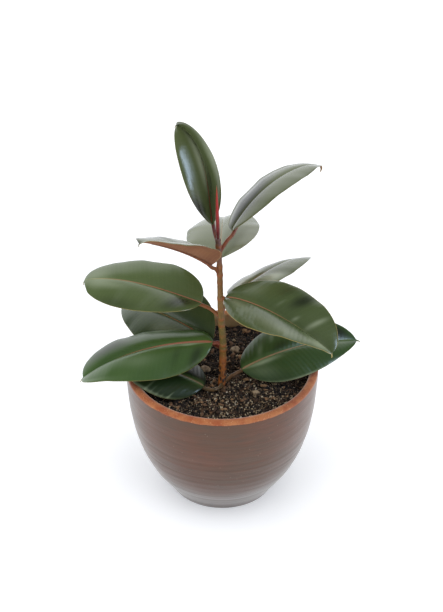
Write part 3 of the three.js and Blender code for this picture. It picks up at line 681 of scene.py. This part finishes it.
WAVES = ((0.055, 0.45), (0.034, 0.3), (0.017, 0.11))  # length in metres, height in mm
WAVE_GROWTH = 1.3             # power of the distance from the midrib with which they grow
VEIN_RIDGE = 0.14             # height in mm of the strongest side veins
RIDGE_ENDS = (0.15, 0.08)     # shares of a half, beside the midrib and the edge, where they fade
LIP_OUT = 2.5 * MM            # how far in from its edge a half turns down
RELIEF_FADE = 0.3             # share of the blade, before its tip, over which its relief dies away
RIB_HALF_WIDTH = (1.5 * MM, 0.45 * MM)    # of the midrib, at the blade's base and tip
RIB_RIDGE, RIB_DIP = (0.24 * MM, 1.1), (0.14 * MM, 2.4)   # height or depth, reach in half widths
EDGE_SQUARENESS = 10
PAINTED_RIB_HIGHLIGHT = (1, 5)         # where the painted highlight beside the midrib fades, in its half widths
RED_FADES, LINE_FADES = (0.3, 1), (0.85, 1)   # where the midrib loses its red, and its colour
ROW_CROWDING, COLUMN_CROWDING = 0.7, 0.8      # of rows to the ends, and columns to the edges
BLADE_ROWS, HALF_COLUMNS = 180, 44
STALK_START = 0.07            # share of the stalk that is inside the stem
STALK_SWELLING = (0.35, 3.5 * MM)         # where it joins the stem: how much thicker, and how far
RIB_RADIUS = (0.8 * STALK_RADIUS, 0.2 * MM)           # under the blade's base, and at its end
STALK_SIDES, STALK_ROWS, RIB_ROWS = 20, 70, 110
PATH_STEPS = 512


def half_width(leaf, t):
    """Half the blade's width: an oval widest at `belly`, with the power `point` on its tip side,
    which a root of summed powers joins softly to a narrow drip tip."""
    along = np.clip(t / OVAL_END, 0, 1)
    x = 2 * along ** (np.log(0.5) / np.log(leaf["belly"])) - 1
    base = np.maximum(1 - np.abs(x) ** BASE_ROUND, 0) ** BASE_FULL
    tip = np.maximum(1 - np.abs(x) ** TIP_ROUND, 0) ** leaf["point"]
    body = np.where(x < 0, base, tip) * leaf["width"] / 2
    tail = TAIL_RADIUS * ease((t - TAIL_START) / (TAIL_FULL - TAIL_START))
    tail = tail * np.clip((1 - t) / (1 - TAIL_TAPER), 0, 1) ** TAIL_SHAPE
    both = (body ** TAIL_BLEND + tail ** TAIL_BLEND) ** (1 / TAIL_BLEND)
    return np.maximum(both, lerp(LEAST_RADIUS, TIP_POINT, ease((t - 0.5) * 2)))


def heading(slope, bearing):
    """Direction of a slope and a bearing, in radians."""
    return np.stack([np.cos(slope) * np.cos(bearing), np.cos(slope) * np.sin(bearing),
                     np.sin(slope)], -1)


def walk(start, length, slope_at, bearing_at):
    """Running sum of short steps, each along the mean of the headings at its two ends."""
    share = np.linspace(0, 1, PATH_STEPS + 1)
    ways = heading(slope_at(share), bearing_at(share))
    steps = (ways[1:] + ways[:-1]) / 2 * length / PATH_STEPS
    line = start + np.concatenate([np.zeros((1, 3)), np.cumsum(steps, axis=0)])
    return lambda t: np.stack([np.interp(t, share, line[:, axis]) for axis in range(3)], -1)


def leaf_lines(leaf):
    """The stalk's and the blade's middle lines, and the blade's sideways and upward directions.
    The stalk's slope goes over to the blade's pitch late, and its extra bearing eases away. The
    blade's slope goes from pitch to tip with the power bend, less the hook over its last tenth, and
    its bearing turns evenly. Both directions lean about the line by roll and an even twist."""
    rise, pitch, azimuth, tip, hook, turn, sweep = (np.radians(leaf[key]) for key in (
        "rise", "pitch", "azimuth", "tip", "hook", "turn", "sweep"))
    stalk = walk(stem_at(leaf["node"])[0], leaf["stalk"],
                 lambda u: lerp(rise, pitch, u ** STALK_EASE),
                 lambda u: azimuth + turn * (1 - ease(u)))

    def slope(t):
        bent = np.clip((t - HOOK_START) / (1 - HOOK_START), 0, 1) ** 2
        return lerp(pitch, tip, t ** leaf["bend"]) - hook * bent

    def bearing(t):
        return azimuth + sweep * t

    def directions(t):
        across = np.stack([-np.sin(bearing(t)), np.cos(bearing(t)), np.zeros(len(t))], -1)
        up = np.cross(heading(slope(t), bearing(t)), across)
        roll = np.radians(leaf["roll"] + leaf["twist"] * t)[:, None]
        return (across * np.cos(roll) + up * np.sin(roll),
                up * np.cos(roll) - across * np.sin(roll))

    blade = walk(stalk(np.ones(1))[0], leaf["length"], slope, bearing)
    return stalk, blade, directions


def blade_middle(leaf, t, u):
    """The blade's middle surface, at t along it and u across, -1 at its right edge and 1 at its
    left. Each half leaves the midrib at its fold angle and curls down evenly towards the edge."""
    _, blade, directions = leaf_lines(leaf)
    across, up = directions(t)
    reach = half_width(leaf, t)
    folds = [lerp(leaf[side], leaf.get(side + "Tip", leaf[side]), ease(t))[:, None]
             for side in ("left", "right")]
    flat = np.where(u >= 0, *folds)
    share = np.minimum(reach / (leaf["width"] / 2), 1)
    curl = leaf["curl"] * np.abs(u) * lerp(NARROW_CURL, 1, share)[:, None]
    angle = np.radians(flat - curl / 2)
    out = np.abs(u) * reach[:, None]
    return (blade(t)[:, None] + (out * np.cos(angle) * np.sign(u))[..., None] * across[:, None]
            + (out * np.sin(angle))[..., None] * up[:, None]), reach


def surface_normals(grid):
    """Unit normal of a grid of points: the cross product of its two directions."""
    return unit(np.cross(np.gradient(grid, axis=0), np.gradient(grid, axis=1)))


def blade_relief(leaf, seed, along, out, u, edge):
    """Relief of the blade, in metres: slow waves that grow outwards, the side veins' low ridges, a
    swelling beside the midrib, and an edge that turns down."""
    rng = np.random.default_rng(seed)
    waves = np.zeros(u.shape)
    for size, height in WAVES:
        start = rng.uniform(0, 2 * np.pi, 2)
        turns = 2 * np.pi * along / (size * rng.uniform(0.85, 1.15))
        waves += height * np.sin(turns + np.where(u > 0, *start))
    ridges = VEIN_RIDGE * np.cos(2 * np.pi * along / VEIN_SPACING)
    inner, outer = ease(np.abs(u) / RIDGE_ENDS[0]), ease((1 - np.abs(u)) / RIDGE_ENDS[1])
    relief = leaf["wavy"] * waves * np.abs(u) ** WAVE_GROWTH
    relief += leaf["ribbed"] ** 2 * ridges * inner * outer
    far = out / (leaf["swellOut"] * MM)
    relief += leaf["swell"] * far * np.exp(1 - far)
    relief -= np.where(u > 0, leaf["lipLeft"], leaf["lipRight"]) * np.exp(-edge / LIP_OUT)
    return MM * relief


def painted_light_patches(patches, along, u):
    """How much paler each point is, a painted reflection, or darker below 0, painted shade: a sum of
    soft ovals, each highest at its middle.
    """
    paler = 0 * along
    for place, across, length, width, amount in patches:
        paler += amount * np.exp(-((along - place) / length) ** 2 - ((u - across) / width) ** 2)
    return np.clip(paler, -1, 1)


def blade_arrays(leaf, seed):
    """Points round each row of the blade, over its top from left to right and back underneath, and
    what its finish needs to know about them. Both faces are the middle surface with its relief,
    moved out by half the thickness. The top also rises at the midrib and dips beside it."""
    even = np.linspace(0, 1, BLADE_ROWS + 1)
    t = lerp(even, 0.5 - 0.5 * np.cos(np.pi * even), ROW_CROWDING)
    s = np.linspace(1, -1, 2 * HALF_COLUMNS + 1)
    u = np.sign(s) * lerp(np.abs(s), ease(np.abs(s)), COLUMN_CROWDING)
    u = np.broadcast_to(u, (len(t), len(s)))
    middle, reach = blade_middle(leaf, t, u)
    along, reach = t[:, None], reach[:, None]
    width_share = reach / (leaf["width"] / 2)
    out = np.abs(u) * reach
    vein = along * leaf["length"] - VEIN_SLANT * out
    edge = np.minimum((1 - np.abs(u)) * reach, (1 - along) * leaf["length"])
    fade = ease(width_share * 2) * ease((1 - along) / RELIEF_FADE)
    relief = fade * blade_relief(leaf, seed, vein, out, u, edge)
    middle = middle - surface_normals(middle) * relief[..., None]
    normals = -surface_normals(middle)
    begun = ease(width_share * 3)
    rib = out / np.maximum(lerp(*RIB_HALF_WIDTH, along) * begun, 0.2 * MM)
    body = 0.5 * BLADE_THICKNESS * np.sqrt(np.clip(1 - np.abs(u) ** EDGE_SQUARENESS, 0, 1))
    ridge, dip = (size * np.exp(-(rib / spread) ** 2) for size, spread in (RIB_RIDGE, RIB_DIP))
    top = middle + normals * (body + begun * (ridge - dip))[..., None]
    under = middle - normals * body[..., None]
    facts = {key: leaf[key] for key in ("age", "tone", "red", "margin")}
    # the paler fact carries the painted reflections, and the painted shade where it is below 0
    facts |= {"rib": rib / leaf["ribSpread"], "vein": vein / MM, "edge": edge / MM, "share": along,
              "paler": painted_light_patches(leaf["patches"], vein / leaf["length"], u)}

    def round_row(over, back):
        return np.concatenate([over, back[:, -2:0:-1]], axis=1)

    facts = {key: np.broadcast_to(values, out.shape) for key, values in facts.items()}
    return round_row(top, under), {key: round_row(values, values) for key, values in facts.items()}


def leaf_top_finish():
    """Waxy dark green with fine side veins, a red-brown midrib that fades, and a pale margin.
    Painted reflections and painted shade lie in soft patches, and a painted highlight lies beside
    the midrib.
    """
    material, shade = new_finish("leaf_upper_face", IOR=1.5)
    place, marks = shade.place(), shade.marks()
    age, share, tone, paler = (shade.attribute(key) for key in ("age", "share", "tone", "paler"))
    green = shade.mix(age, 0x545c3a, 0x385c22)
    light = shade.mix(age, 0x6d744e, 0x51743a)
    green = shade.over(green, light, shade.mottle(place, 26, 0.3, 0.75), 0.2)
    green = shade.over(green, light, shade.mottle(place, 900, 0.35, 0.75), 0.12)
    green = shade.over(green, light, marks["Veins"], 0.10)
    green = shade.mix(tone, 0x0a160c, green)
    # painted reflection: paler patches go towards pale grey-green; painted shade: darker ones go
    # towards near-black
    green = shade.mix(shade.rise(paler, 0, 1), green, shade.mix(age, 0xa0a78f, 0x86987a))
    darker = shade.math("MULTIPLY", paler, -1)
    green = shade.mix(shade.rise(darker, 0, 1), green, 0x10170a)
    # painted highlight in a band beside the midrib
    green = shade.over(green, light, shade.fall(shade.attribute("rib"), *PAINTED_RIB_HIGHLIGHT), 0.25)
    redness = shade.math("MULTIPLY", shade.attribute("red"), shade.fall(share, *RED_FADES))
    midrib = shade.mix(redness, 0x868a60, 0xa4604a)
    midrib = shade.mix(shade.rise(tone, 0, 0.5), 0x3a3a2a, midrib)
    line = shade.math("MULTIPLY", marks["Midrib"], shade.fall(share, *LINE_FADES))
    green = shade.over(green, midrib, line, 0.9)
    green = shade.over(green, 0x9c8a50, marks["Margin"], shade.attribute("margin"))
    veined = shade.bump(marks["Veins"], 0.012 * MM)
    shade.show(Base_Color=green, Roughness=shade.math("MULTIPLY_ADD", age, 0.12, 0.2),
               Normal=shade.bump(shade.noise(place, 700, 3), 0.03 * MM, veined))
    return material


def leaf_under_finish():
    """Matt red-brown, greener on the older leaves, with raised paler side veins."""
    material, shade = new_finish("leaf_under_face", IOR=1.45, Roughness=0.55)
    age, marks = shade.attribute("age"), shade.marks()
    brown = shade.mix(age, 0x7c5036, 0x5a5a38)
    pale = shade.mix(age, 0x966a48, 0x7c7c52)
    brown = shade.over(brown, pale, shade.mottle(shade.place(), 40, 0.35, 0.7), 0.4)
    brown = shade.over(brown, pale, marks["Veins"], 0.3)
    brown = shade.over(brown, 0xb9a46a, marks["Margin"], 0.8)
    shade.show(Base_Color=brown, Normal=shade.bump(marks["Veins"], 0.08 * MM))
    return material


def stalk_finish():
    """Smooth stalk: dark red, orange or olive by its tint, with soft paler and darker patches."""
    material, shade = new_finish("leaf_stalk", Roughness=0.38, IOR=1.45)
    place = shade.place()
    skin = shade.ramp(shade.attribute("tint"), (0.0, 0x541f20), (0.35, 0x703222),
                      (0.6, 0x7a4722), (1.0, 0x4c3f28))
    skin = shade.over(skin, 0x94693f, shade.mottle(place, 330, 0.4, 0.7), 0.3)
    skin = shade.over(skin, 0x5a2c20, shade.mottle(place, 120, 0.5, 0.75), 0.4)
    shade.show(Base_Color=skin, Normal=shade.grain(place, 900, 0.12 * MM))
    return material


def stalk_arrays(leaf):
    """Rings along the stalk and on under the blade, where the midrib lies against it and tapers.
    The stalk swells where it joins the stem."""
    stalk, blade, directions = leaf_lines(leaf)
    share = np.linspace(STALK_START, 1, STALK_ROWS)
    t = np.linspace(RIB_START, RIB_END, RIB_ROWS)
    _, base_up = directions(np.zeros(1))
    _, rib_up = directions(t)
    up = np.concatenate([np.repeat(base_up, STALK_ROWS, axis=0), rib_up])
    thicker, reach = STALK_SWELLING
    foot = 1 + thicker * np.exp(-share * leaf["stalk"] / reach)
    rib_radius = lerp(*RIB_RADIUS, np.linspace(0, 1, RIB_ROWS) ** 0.8)
    radius = np.concatenate([foot * STALK_RADIUS, rib_radius])
    dip = np.concatenate([ease((share - 0.5) / 0.4), np.ones(RIB_ROWS)])
    below = dip * (BLADE_THICKNESS / 2 + 0.8 * radius)
    middle = np.concatenate([stalk(share), blade(t)]) - below[:, None] * up
    forward = unit(np.gradient(middle, axis=0))
    side = unit(np.cross(up, forward))
    return tube(middle, radius[:, None], side, np.cross(forward, side), STALK_SIDES), middle


LEAF_TOP, LEAF_UNDER, STALK = leaf_top_finish(), leaf_under_finish(), stalk_finish()
STALK_TINTS = {"a": 0.05, "b": 0.4, "c": 0.5, "d": 0.55, "e": 0.6, "f": 0.3, "g": 0.35, "h": 1.0,
               "i": 0.5, "j": 0.6, "k": 0.9}


def make_leaf(letter, leaf, seed):
    """The blade with its upper and lower finish, and the stalk that runs on as its midrib."""
    rings, facts = blade_arrays(leaf, seed)
    rows, sides = rings.shape[:2]
    under = np.zeros((rows + 1) * sides, int)
    column = np.tile(np.arange(sides), rows - 1)
    under[:len(column)] = column >= 2 * HALF_COLUMNS
    make_skin(f"blade_{letter}", rings, rings[0].mean(axis=0), rings[-1].mean(axis=0),
              [LEAF_TOP, LEAF_UNDER], [f"leaf_{letter}"], facts, under)
    rings, middle = stalk_arrays(leaf)
    make_skin(f"petiole_{letter}", rings, middle[0], middle[-1], [STALK],
              [f"stalk_{letter}"], {"tint": STALK_TINTS[letter]})


for number, (letter, leaf) in enumerate(LEAVES.items()):
    make_leaf(letter, leaf, 100 + number)

# ---------- bud ----------

BUD_RINGS, BUD_SIDES = 90, 24
BUD_FOOT = (0.7, 0.12)        # the foot's share of the radius, and the share of length it fills in
BUD_TAPER = 0.85              # power with which its radius falls towards the tip
FOLD_HEIGHT = 0.1             # of the overlapping fold, as a share of the radius
FOLD_START, FOLD_WIND, FOLD_WIDTH = 4.2, 0.9, 0.3     # radians round the bud
BUD_LIFT = 1.2 * MM           # from the stem's top to the bud's foot


def bud_finish():
    """Glossy red, near-black at the foot and orange-brown at the tip, with long paler streaks."""
    material, shade = new_finish("bud_sheath", Roughness=0.35, IOR=1.45)
    place = shade.place()
    skin = shade.ramp(shade.attribute("along"), (0.0, 0x4a1418), (0.2, 0x6e141a),
                      (0.42, 0x9c1a1e), (0.75, 0xa82420), (0.92, 0xa04024), (1.0, 0x8a5a38))
    streaks = shade.mottle(shade.stretched(place, 1, 1, 0.06), 900, 0.45, 0.7)
    shade.show(Base_Color=shade.over(skin, 0xb8443a, streaks, 0.35),
               Normal=shade.grain(shade.stretched(place, 1, 1, 0.1), 900, 0.1 * MM))
    return material


def make_bud():
    """A rolled sheath: its radius falls as 1 minus the share squared, to the power BUD_TAPER, from a
    narrow foot, and one overlapping fold winds round it."""
    share = np.linspace(0, 1, BUD_RINGS + 1)[:-1]
    radius = BUD_RADIUS * lerp(BUD_FOOT[0], 1, ease(share / BUD_FOOT[1]))
    radius = radius * (1 - share ** 2) ** BUD_TAPER
    angle = np.arange(BUD_SIDES) * 2 * np.pi / BUD_SIDES
    from_fold = angle - FOLD_START - share[:, None] * FOLD_WIND
    fold = 1 + FOLD_HEIGHT * np.exp(-(from_fold / FOLD_WIDTH) ** 2)
    lean, tilt = np.radians(BUD_LEAN), np.radians(BUD_TILT)
    way = np.array([np.sin(lean), -np.cos(lean) * np.sin(tilt), np.cos(lean) * np.cos(tilt)])
    foot = stem_at(STEM_TOP)[0] + BUD_LIFT * Z_WAY
    middle = foot + (share * BUD_LENGTH)[:, None] * way
    rings = tube(middle, radius[:, None] * fold, X_WAY, Y_WAY, BUD_SIDES)
    points, faces = closed_skin(rings, foot, foot + BUD_LENGTH * way)
    along = np.concatenate([np.repeat(share, BUD_SIDES), [0, 1]])
    make_piece("bud_sheath", points, faces, [bud_finish()], ["bud"], {"along": along})


make_bud()

# ---------- soil ----------

SOIL_SIDES, SOIL_RINGS = 384, 150
LUMP_X, LUMP_Y, LUMP_SLANT = 0.007, 0.006, 0.004      # lengths in metres for one radian of the waves
CRUMBLING = ((0.016, 1.0, 21), (0.007, 0.8, 22), (0.0035, 0.5, 23))   # size, depth in mm, seed
SOIL_GAP = 0.35 * MM          # between the bed and the pot
BED_SIDE_ENDS = SOIL_LEVEL - 6 * MM


def lumps(x, y):
    """Soft lumps of the bed: waves across each other, from about -1.6 to 1.6."""
    return np.sin(x / LUMP_X + 1.3) * np.cos(y / LUMP_Y) + 0.6 * np.sin((x + y) / LUMP_SLANT + 2)


def soil_height(x, y):
    """The bed's top: a low mound and soft lumps, crumbled by finer and finer relief."""
    distance = np.hypot(x, y) / (RIM_RADIUS - WALL)
    height = SOIL_LEVEL + SOIL_MOUND * (1 - distance ** 2)
    height = height + SOIL_LUMPS * lumps(x, y) * (1 - distance ** 6)
    place = np.stack([x, y, 0 * x], -1)
    for size, depth, seed in CRUMBLING:
        height = height + depth * MM * ripple(place, size, seed)
    return height


def soil_finish():
    """Near-black peat with brown and tan specks."""
    material, shade = new_finish("potting_soil", Roughness=0.9, IOR=1.4)
    place = shade.place()
    dark = shade.mix(shade.mottle(place, 260, 0.35, 0.65), 0x0c0907, 0x2c2119)
    dark = shade.mix(shade.specks(place, 520, 0.5, 0.3), dark, 0x6b5947)
    dark = shade.mix(shade.specks(place, 900, 0.45, 0.14), dark, 0xa8977c)
    shade.show(Base_Color=dark, Normal=shade.grain(place, 900, 0.9 * MM))
    return material


def make_soil():
    """The bed that fills the pot: a profile of floor, wall and level top, turned about the axis,
    with the top lifted to the soil's height."""
    wall, way = side_curve(np.linspace(0, 1, 40))
    wall = wall + (WALL + SOIL_GAP) * np.stack([-way[:, 1], way[:, 0]], -1)
    wall = wall[(wall[:, 1] > FLOOR + CORNER[1]) & (wall[:, 1] < BED_SIDE_ENDS)]
    floor = FLOOR + SOIL_GAP
    top = np.linspace(SOIL_RADIUS, 0, SOIL_RINGS, endpoint=False)
    profile = np.concatenate([[(wall[0, 0] - CORNER[0], floor)], wall,
                              np.stack([top, np.full(SOIL_RINGS, SOIL_LEVEL)], -1)])
    rings = turned(profile, SOIL_SIDES)
    upper = rings[-SOIL_RINGS:]
    upper[..., 2] = soil_height(upper[..., 0], upper[..., 1])
    centre = soil_height(np.zeros(1), np.zeros(1))[0]
    make_skin("soil_bed", rings, (0, 0, floor), (0, 0, centre), [soil_finish()], ["soil"])


make_soil()


def turns(quaternions):
    """Rotation matrices of unit quaternions."""
    w, x, y, z = quaternions.T
    return np.stack([
        np.stack([1 - 2 * (y * y + z * z), 2 * (x * y - z * w), 2 * (x * z + y * w)], -1),
        np.stack([2 * (x * y + z * w), 1 - 2 * (x * x + z * z), 2 * (y * z - x * w)], -1),
        np.stack([2 * (x * z - y * w), 2 * (y * z + x * w), 1 - 2 * (x * x + y * y)], -1)], 1)


def scatter(places, sizes, turned_by, rng, uneven):
    """Points and faces of one grain at each place, stretched, made uneven and turned."""
    corners, corner_faces = grain_shape()
    rough = rng.uniform(1 - uneven, 1 + uneven, (len(places), len(corners), 1))
    copies = corners * sizes[:, None] * rough
    copies = np.einsum("nij,nvj->nvi", turned_by, copies) + places[:, None]
    offsets = np.arange(len(places))[:, None, None] * len(corners)
    return copies.reshape(-1, 3), (np.array(corner_faces) + offsets).reshape(-1, 3).tolist()


def grain_shape():
    """Twelve corners and twenty faces of an icosahedron of radius 1."""
    g = (1 + 5 ** 0.5) / 2
    corners = np.array([(-1, g, 0), (1, g, 0), (-1, -g, 0), (1, -g, 0), (0, -1, g), (0, 1, g),
                        (0, -1, -g), (0, 1, -g), (g, 0, -1), (g, 0, 1), (-g, 0, -1), (-g, 0, 1)])
    faces = [(0, 11, 5), (0, 5, 1), (0, 1, 7), (0, 7, 10), (0, 10, 11), (1, 5, 9), (5, 11, 4),
             (11, 10, 2), (10, 7, 6), (7, 1, 8), (3, 9, 4), (3, 4, 2), (3, 2, 6), (3, 6, 8),
             (3, 8, 9), (4, 9, 5), (2, 4, 11), (6, 2, 10), (8, 6, 7), (9, 8, 1)]
    return unit(corners), faces


STEM_CLEARANCE, EDGE_CLEARANCE = 5.5 * MM, 1.2 * MM


def places_on_soil(rng, count, spread, crowd, lift):
    """Places spread normally about the point crowd, and kept where they are on the soil and clear
    of the stem."""
    x, y = rng.normal(0, spread, (2, 3 * count)) + np.array(crowd)[:, None]
    from_stem = np.hypot(x - STEM_ROUTE[0, 0], y - STEM_ROUTE[0, 1])
    inside = (np.hypot(x, y) < SOIL_RADIUS - EDGE_CLEARANCE) & (from_stem > STEM_CLEARANCE)
    x, y = x[inside][:count], y[inside][:count]
    return np.stack([x, y, soil_height(x, y) + lift], -1)


GRIT_SIZES, SPLINTER_SIZES = (0.5 * MM, 1.25 * MM), (1.2 * MM, 3.4 * MM)
SPLINTER_SHAPE = np.array([1.5, 0.8, 0.35])           # length, width and thickness


def loose_finish(name, stops, stain, patches, strength, grain, **settings):
    """Small loose pieces, each with its own tone along the stops, with a stain in soft patches."""
    material, shade = new_finish(name, **settings)
    place = shade.place()
    tone = shade.ramp(shade.attribute("tone"), *stops)
    shade.show(Base_Color=shade.over(tone, stain, shade.mottle(place, *patches), strength),
               Normal=shade.grain(place, *grain))
    return material


GRIT = loose_finish(
    "soil_grit", [(0.0, 0x14100c), (0.3, 0x2e231b), (0.5, 0x5c4a36), (0.72, 0xa08b6c),
                  (0.9, 0xc4b596), (1.0, 0xe0d8c8)],
    0x4c3c2c, (1100, 0.4, 0.7), 0.4, (1500, 0.3 * MM), Roughness=0.8, IOR=1.45)
BARK = loose_finish(
    "bark_chips", [(0.0, 0x2e2018), (0.5, 0x55402f), (0.8, 0x7a5c42), (1.0, 0xa4825e)],
    0x2a1e16, (600, 0.4, 0.65), 0.5, (900, 0.4 * MM), Roughness=0.85, IOR=1.4)


def make_grit():
    """Small grains: pale ones crowd to the right of the stem, dark crumbs lie all over."""
    for name, count, spread, crowd, tones, seed in (
            ("pale_grit", 1500, 0.042, (0.022, -0.050), (0.3, 1.0), 31),
            ("mixed_grit", 1500, 0.065, (0.0, 0.0), (0.0, 0.8), 32),
            ("dark_crumbs", 4200, 0.070, (0.0, 0.0), (0.0, 0.3), 33)):
        rng = np.random.default_rng(seed)
        places = places_on_soil(rng, count, spread, crowd, 0.3 * MM)
        count = len(places)
        sizes = rng.uniform(*GRIT_SIZES, (count, 1)) * rng.uniform(0.7, 1.3, (count, 3))
        random_turns = turns(unit(rng.normal(size=(count, 4))))
        points, faces = scatter(places, sizes, random_turns, rng, 0.25)
        tone = np.repeat(rng.uniform(*tones, count), len(points) // count)
        make_piece(name, points, faces, [GRIT], (), {"tone": tone})


make_grit()


def make_bark_bits():
    """Flat splinters of bark, turned any way about the vertical axis after a small tilt."""
    rng = np.random.default_rng(41)
    places = places_on_soil(rng, 520, 0.062, (0.0, 0.012), 0.6 * MM)
    count = len(places)
    sizes = rng.uniform(*SPLINTER_SIZES, (count, 1)) * SPLINTER_SHAPE
    sizes = sizes * rng.uniform(0.7, 1.3, (count, 3))
    half_spin, half_tilt = rng.uniform(0, 2 * np.pi, count) / 2, rng.normal(0, 0.35, count) / 2
    zero = np.zeros(count)
    about_z = turns(np.stack([np.cos(half_spin), zero, zero, np.sin(half_spin)], -1))
    about_x = turns(np.stack([np.cos(half_tilt), np.sin(half_tilt), zero, zero], -1))
    points, faces = scatter(places, sizes, about_z @ about_x, rng, 0.3)
    tone = np.repeat(rng.uniform(0, 1, count), len(points) // count)
    make_piece("bark_bits", points, faces, [BARK], (), {"tone": tone})


make_bark_bits()

FIBRE_LENGTHS, FIBRE_LIFTS = (5 * MM, 15 * MM), (0.3 * MM, 1.1 * MM)    # lift above the soil
FIBRE_RADII = 0.2 * MM * np.array([0.4, 1, 1, 1, 0.9, 0.7, 0.3])        # along a strand


def make_fibres():
    """Thin pale root hairs and straws: each a three-sided strand that bends evenly."""
    rng = np.random.default_rng(51)
    starts = places_on_soil(rng, 170, 0.055, (0.010, -0.010), 0.7 * MM)
    count, steps = len(starts), len(FIBRE_RADII)
    length = rng.uniform(*FIBRE_LENGTHS, count)
    bearing = rng.uniform(0, 2 * np.pi, count)[:, None] + (
        rng.normal(0, 1.2, count)[:, None] * np.linspace(0, 1, steps))
    ways = heading(0 * bearing, bearing)
    line = starts[:, None] + np.cumsum(ways, axis=1) * (length / steps)[:, None, None]
    line[..., 2] = soil_height(line[..., 0], line[..., 1]) + rng.uniform(*FIBRE_LIFTS, (count, 1))
    inside = np.hypot(line[..., 0], line[..., 1]).max(axis=1) < SOIL_RADIUS
    line, ways = line[inside], ways[inside]
    rings = tube(line, FIBRE_RADII[:, None], np.cross(Z_WAY, ways), Z_WAY, 3)
    points = np.concatenate([rings.reshape(len(line), -1, 3), line[:, :1], line[:, -1:]], axis=1)
    _, one_faces = closed_skin(rings[0], line[0, 0], line[0, -1])
    offsets = np.arange(len(line))[:, None, None] * points.shape[1]
    squares, fans = (np.array([face for face in one_faces if len(face) == size]) + offsets
                     for size in (4, 3))
    faces = [*squares.reshape(-1, 4).tolist(), *fans.reshape(-1, 3).tolist()]
    tone = np.repeat(rng.uniform(0.6, 1, len(line)), points.shape[1])
    make_piece("soil_fibres", points.reshape(-1, 3), faces, [BARK], (), {"tone": tone})


make_fibres()


def stone_finish():
    """Dull stone, brown in some places and paler in others."""
    material, shade = new_finish("pebble_stone", Roughness=0.7, IOR=1.5)
    place = shade.place()
    shade.show(Base_Color=shade.mix(shade.mottle(place, 240, 0.35, 0.65), 0x6a563e, 0xa08c70),
               Normal=shade.grain(place, 700, 0.4 * MM))
    return material


STONE_RINGS, STONE_SIDES = 24, 36
STONE_WEAR = (0.09, 1.6)      # depth and size of its relief, in radii
STONE_RISE = 0.25             # of its middle above the soil, in radii


def make_pebbles():
    """Worn stones: a flattened sphere with soft random relief."""
    material = stone_finish()
    slope = np.linspace(-np.pi / 2, np.pi / 2, STONE_RINGS + 2)[1:-1]
    ball = turned(np.stack([np.cos(slope), np.sin(slope)], -1), STONE_SIDES)
    for number, (x, y, radius, flatness) in enumerate(PEBBLES, 1):
        mound = SOIL_MOUND * (1 - (x * x + y * y) / (RIM_RADIUS - WALL) ** 2)
        seat = SOIL_LEVEL + mound + SOIL_LUMPS * lumps(x, y)
        centre = np.array([x, y, seat + STONE_RISE * radius])
        swell = 1 + STONE_WEAR[0] * ripple(ball, STONE_WEAR[1], 60 + number)[..., None]
        stretch = radius * np.array([1.2, 1, flatness])
        pole = stretch * Z_WAY
        make_skin(f"stone_{number}", centre + ball * swell * stretch, centre - pole, centre + pole,
                  [material], [f"pebble_{number}"])


make_pebbles()

# ---------- floor and light ----------

FLOOR_SIZE = 30.0
# parts of a unit direction between which the room that gloss reflects changes
BRIGHT_BACK, DIM_ABOVE, DIM_RIGHT = (0, 0.75), (0.7, 0.93), (0.25, 0.45)
DIM_ROOM, BRIGHT_ROOM = 0.12, 1.62                    # how strongly its two parts shine


def make_floor():
    """A plain pale floor."""
    material, _ = new_finish(
        "floor_paint", Base_Color=(0.92, 0.92, 0.93, 1), Roughness=0.7, Specular_IOR_Level=0.1,
        Emission_Color=(0.88, 0.93, 1, 1), Emission_Strength=0.28)
    half = FLOOR_SIZE / 2
    mesh = bpy.data.meshes.new("floor")
    mesh.from_pydata([(-half, -half, 0), (half, -half, 0), (half, half, 0), (-half, half, 0)], [],
                     [(0, 1, 2, 3)])
    mesh.materials.append(material)
    floor = bpy.data.objects.new("floor", mesh)
    scene.collection.objects.link(floor)


def make_light(name, low, high, width, aim, power, tint=(1, 1, 1), shines=True):
    """A soft rectangular light between two ends. One that shines makes only a reflection, and one
    that doesn't only lights the plant."""
    low, high, aim = Vector(low), Vector(high), Vector(aim)
    data = bpy.data.lights.new(name, "AREA")
    data.shape = "RECTANGLE"
    data.size, data.size_y = width, (high - low).length
    data.energy = power
    data.color = tint
    light = bpy.data.objects.new(name, data)
    light.location = (low + high) / 2
    back = (light.location - aim).normalized()
    side = (high - low).cross(back).normalized()
    light.rotation_mode = "QUATERNION"
    light.rotation_quaternion = Matrix((side, back.cross(side), back)).transposed().to_quaternion()
    light.visible_glossy = shines
    light.visible_diffuse = not shines
    light.visible_camera = False
    scene.collection.objects.link(light)


def make_surroundings():
    """White all round. Gloss reflects a room, bright at the back and dim in front and above."""
    world = bpy.data.worlds.new("studio")
    scene.world = world
    world.use_nodes = True
    shade = Shade(world.node_tree)
    way = shade.node("SeparateXYZ", {"Vector": shade.node("TexCoord").outputs["Generated"]}).outputs
    glossy_ray = shade.node("LightPath").outputs["Is Glossy Ray"]
    bright = shade.math("MULTIPLY", shade.rise(way["Y"], *BRIGHT_BACK),
                        shade.fall(way["Z"], *DIM_ABOVE))
    bright = shade.math("MULTIPLY", bright, shade.fall(way["X"], *DIM_RIGHT))
    glossy = shade.math("MULTIPLY", shade.math(
        "MULTIPLY_ADD", bright, BRIGHT_ROOM - DIM_ROOM, DIM_ROOM), glossy_ray)
    shade.fill(world.node_tree.nodes["Background"], {
        "Strength": shade.math("ADD", shade.math("SUBTRACT", 1, glossy_ray), glossy),
        "Color": (0.97, 0.985, 1.0, 1.0)})


scene.view_settings.view_transform = "Standard"
make_floor()
make_surroundings()
make_light("soft_top", (-0.15, -1.3, 2.4), (-0.15, 0.3, 2.4), 1.6, (0, 0, 0.2), 14, shines=False)
make_light("tall_window", (2.12, -1.5, 0.02), (1.45, -0.85, 2.9), 0.38, (0, 0, 0.4), 56,
           (0.6, 0.75, 1.0))
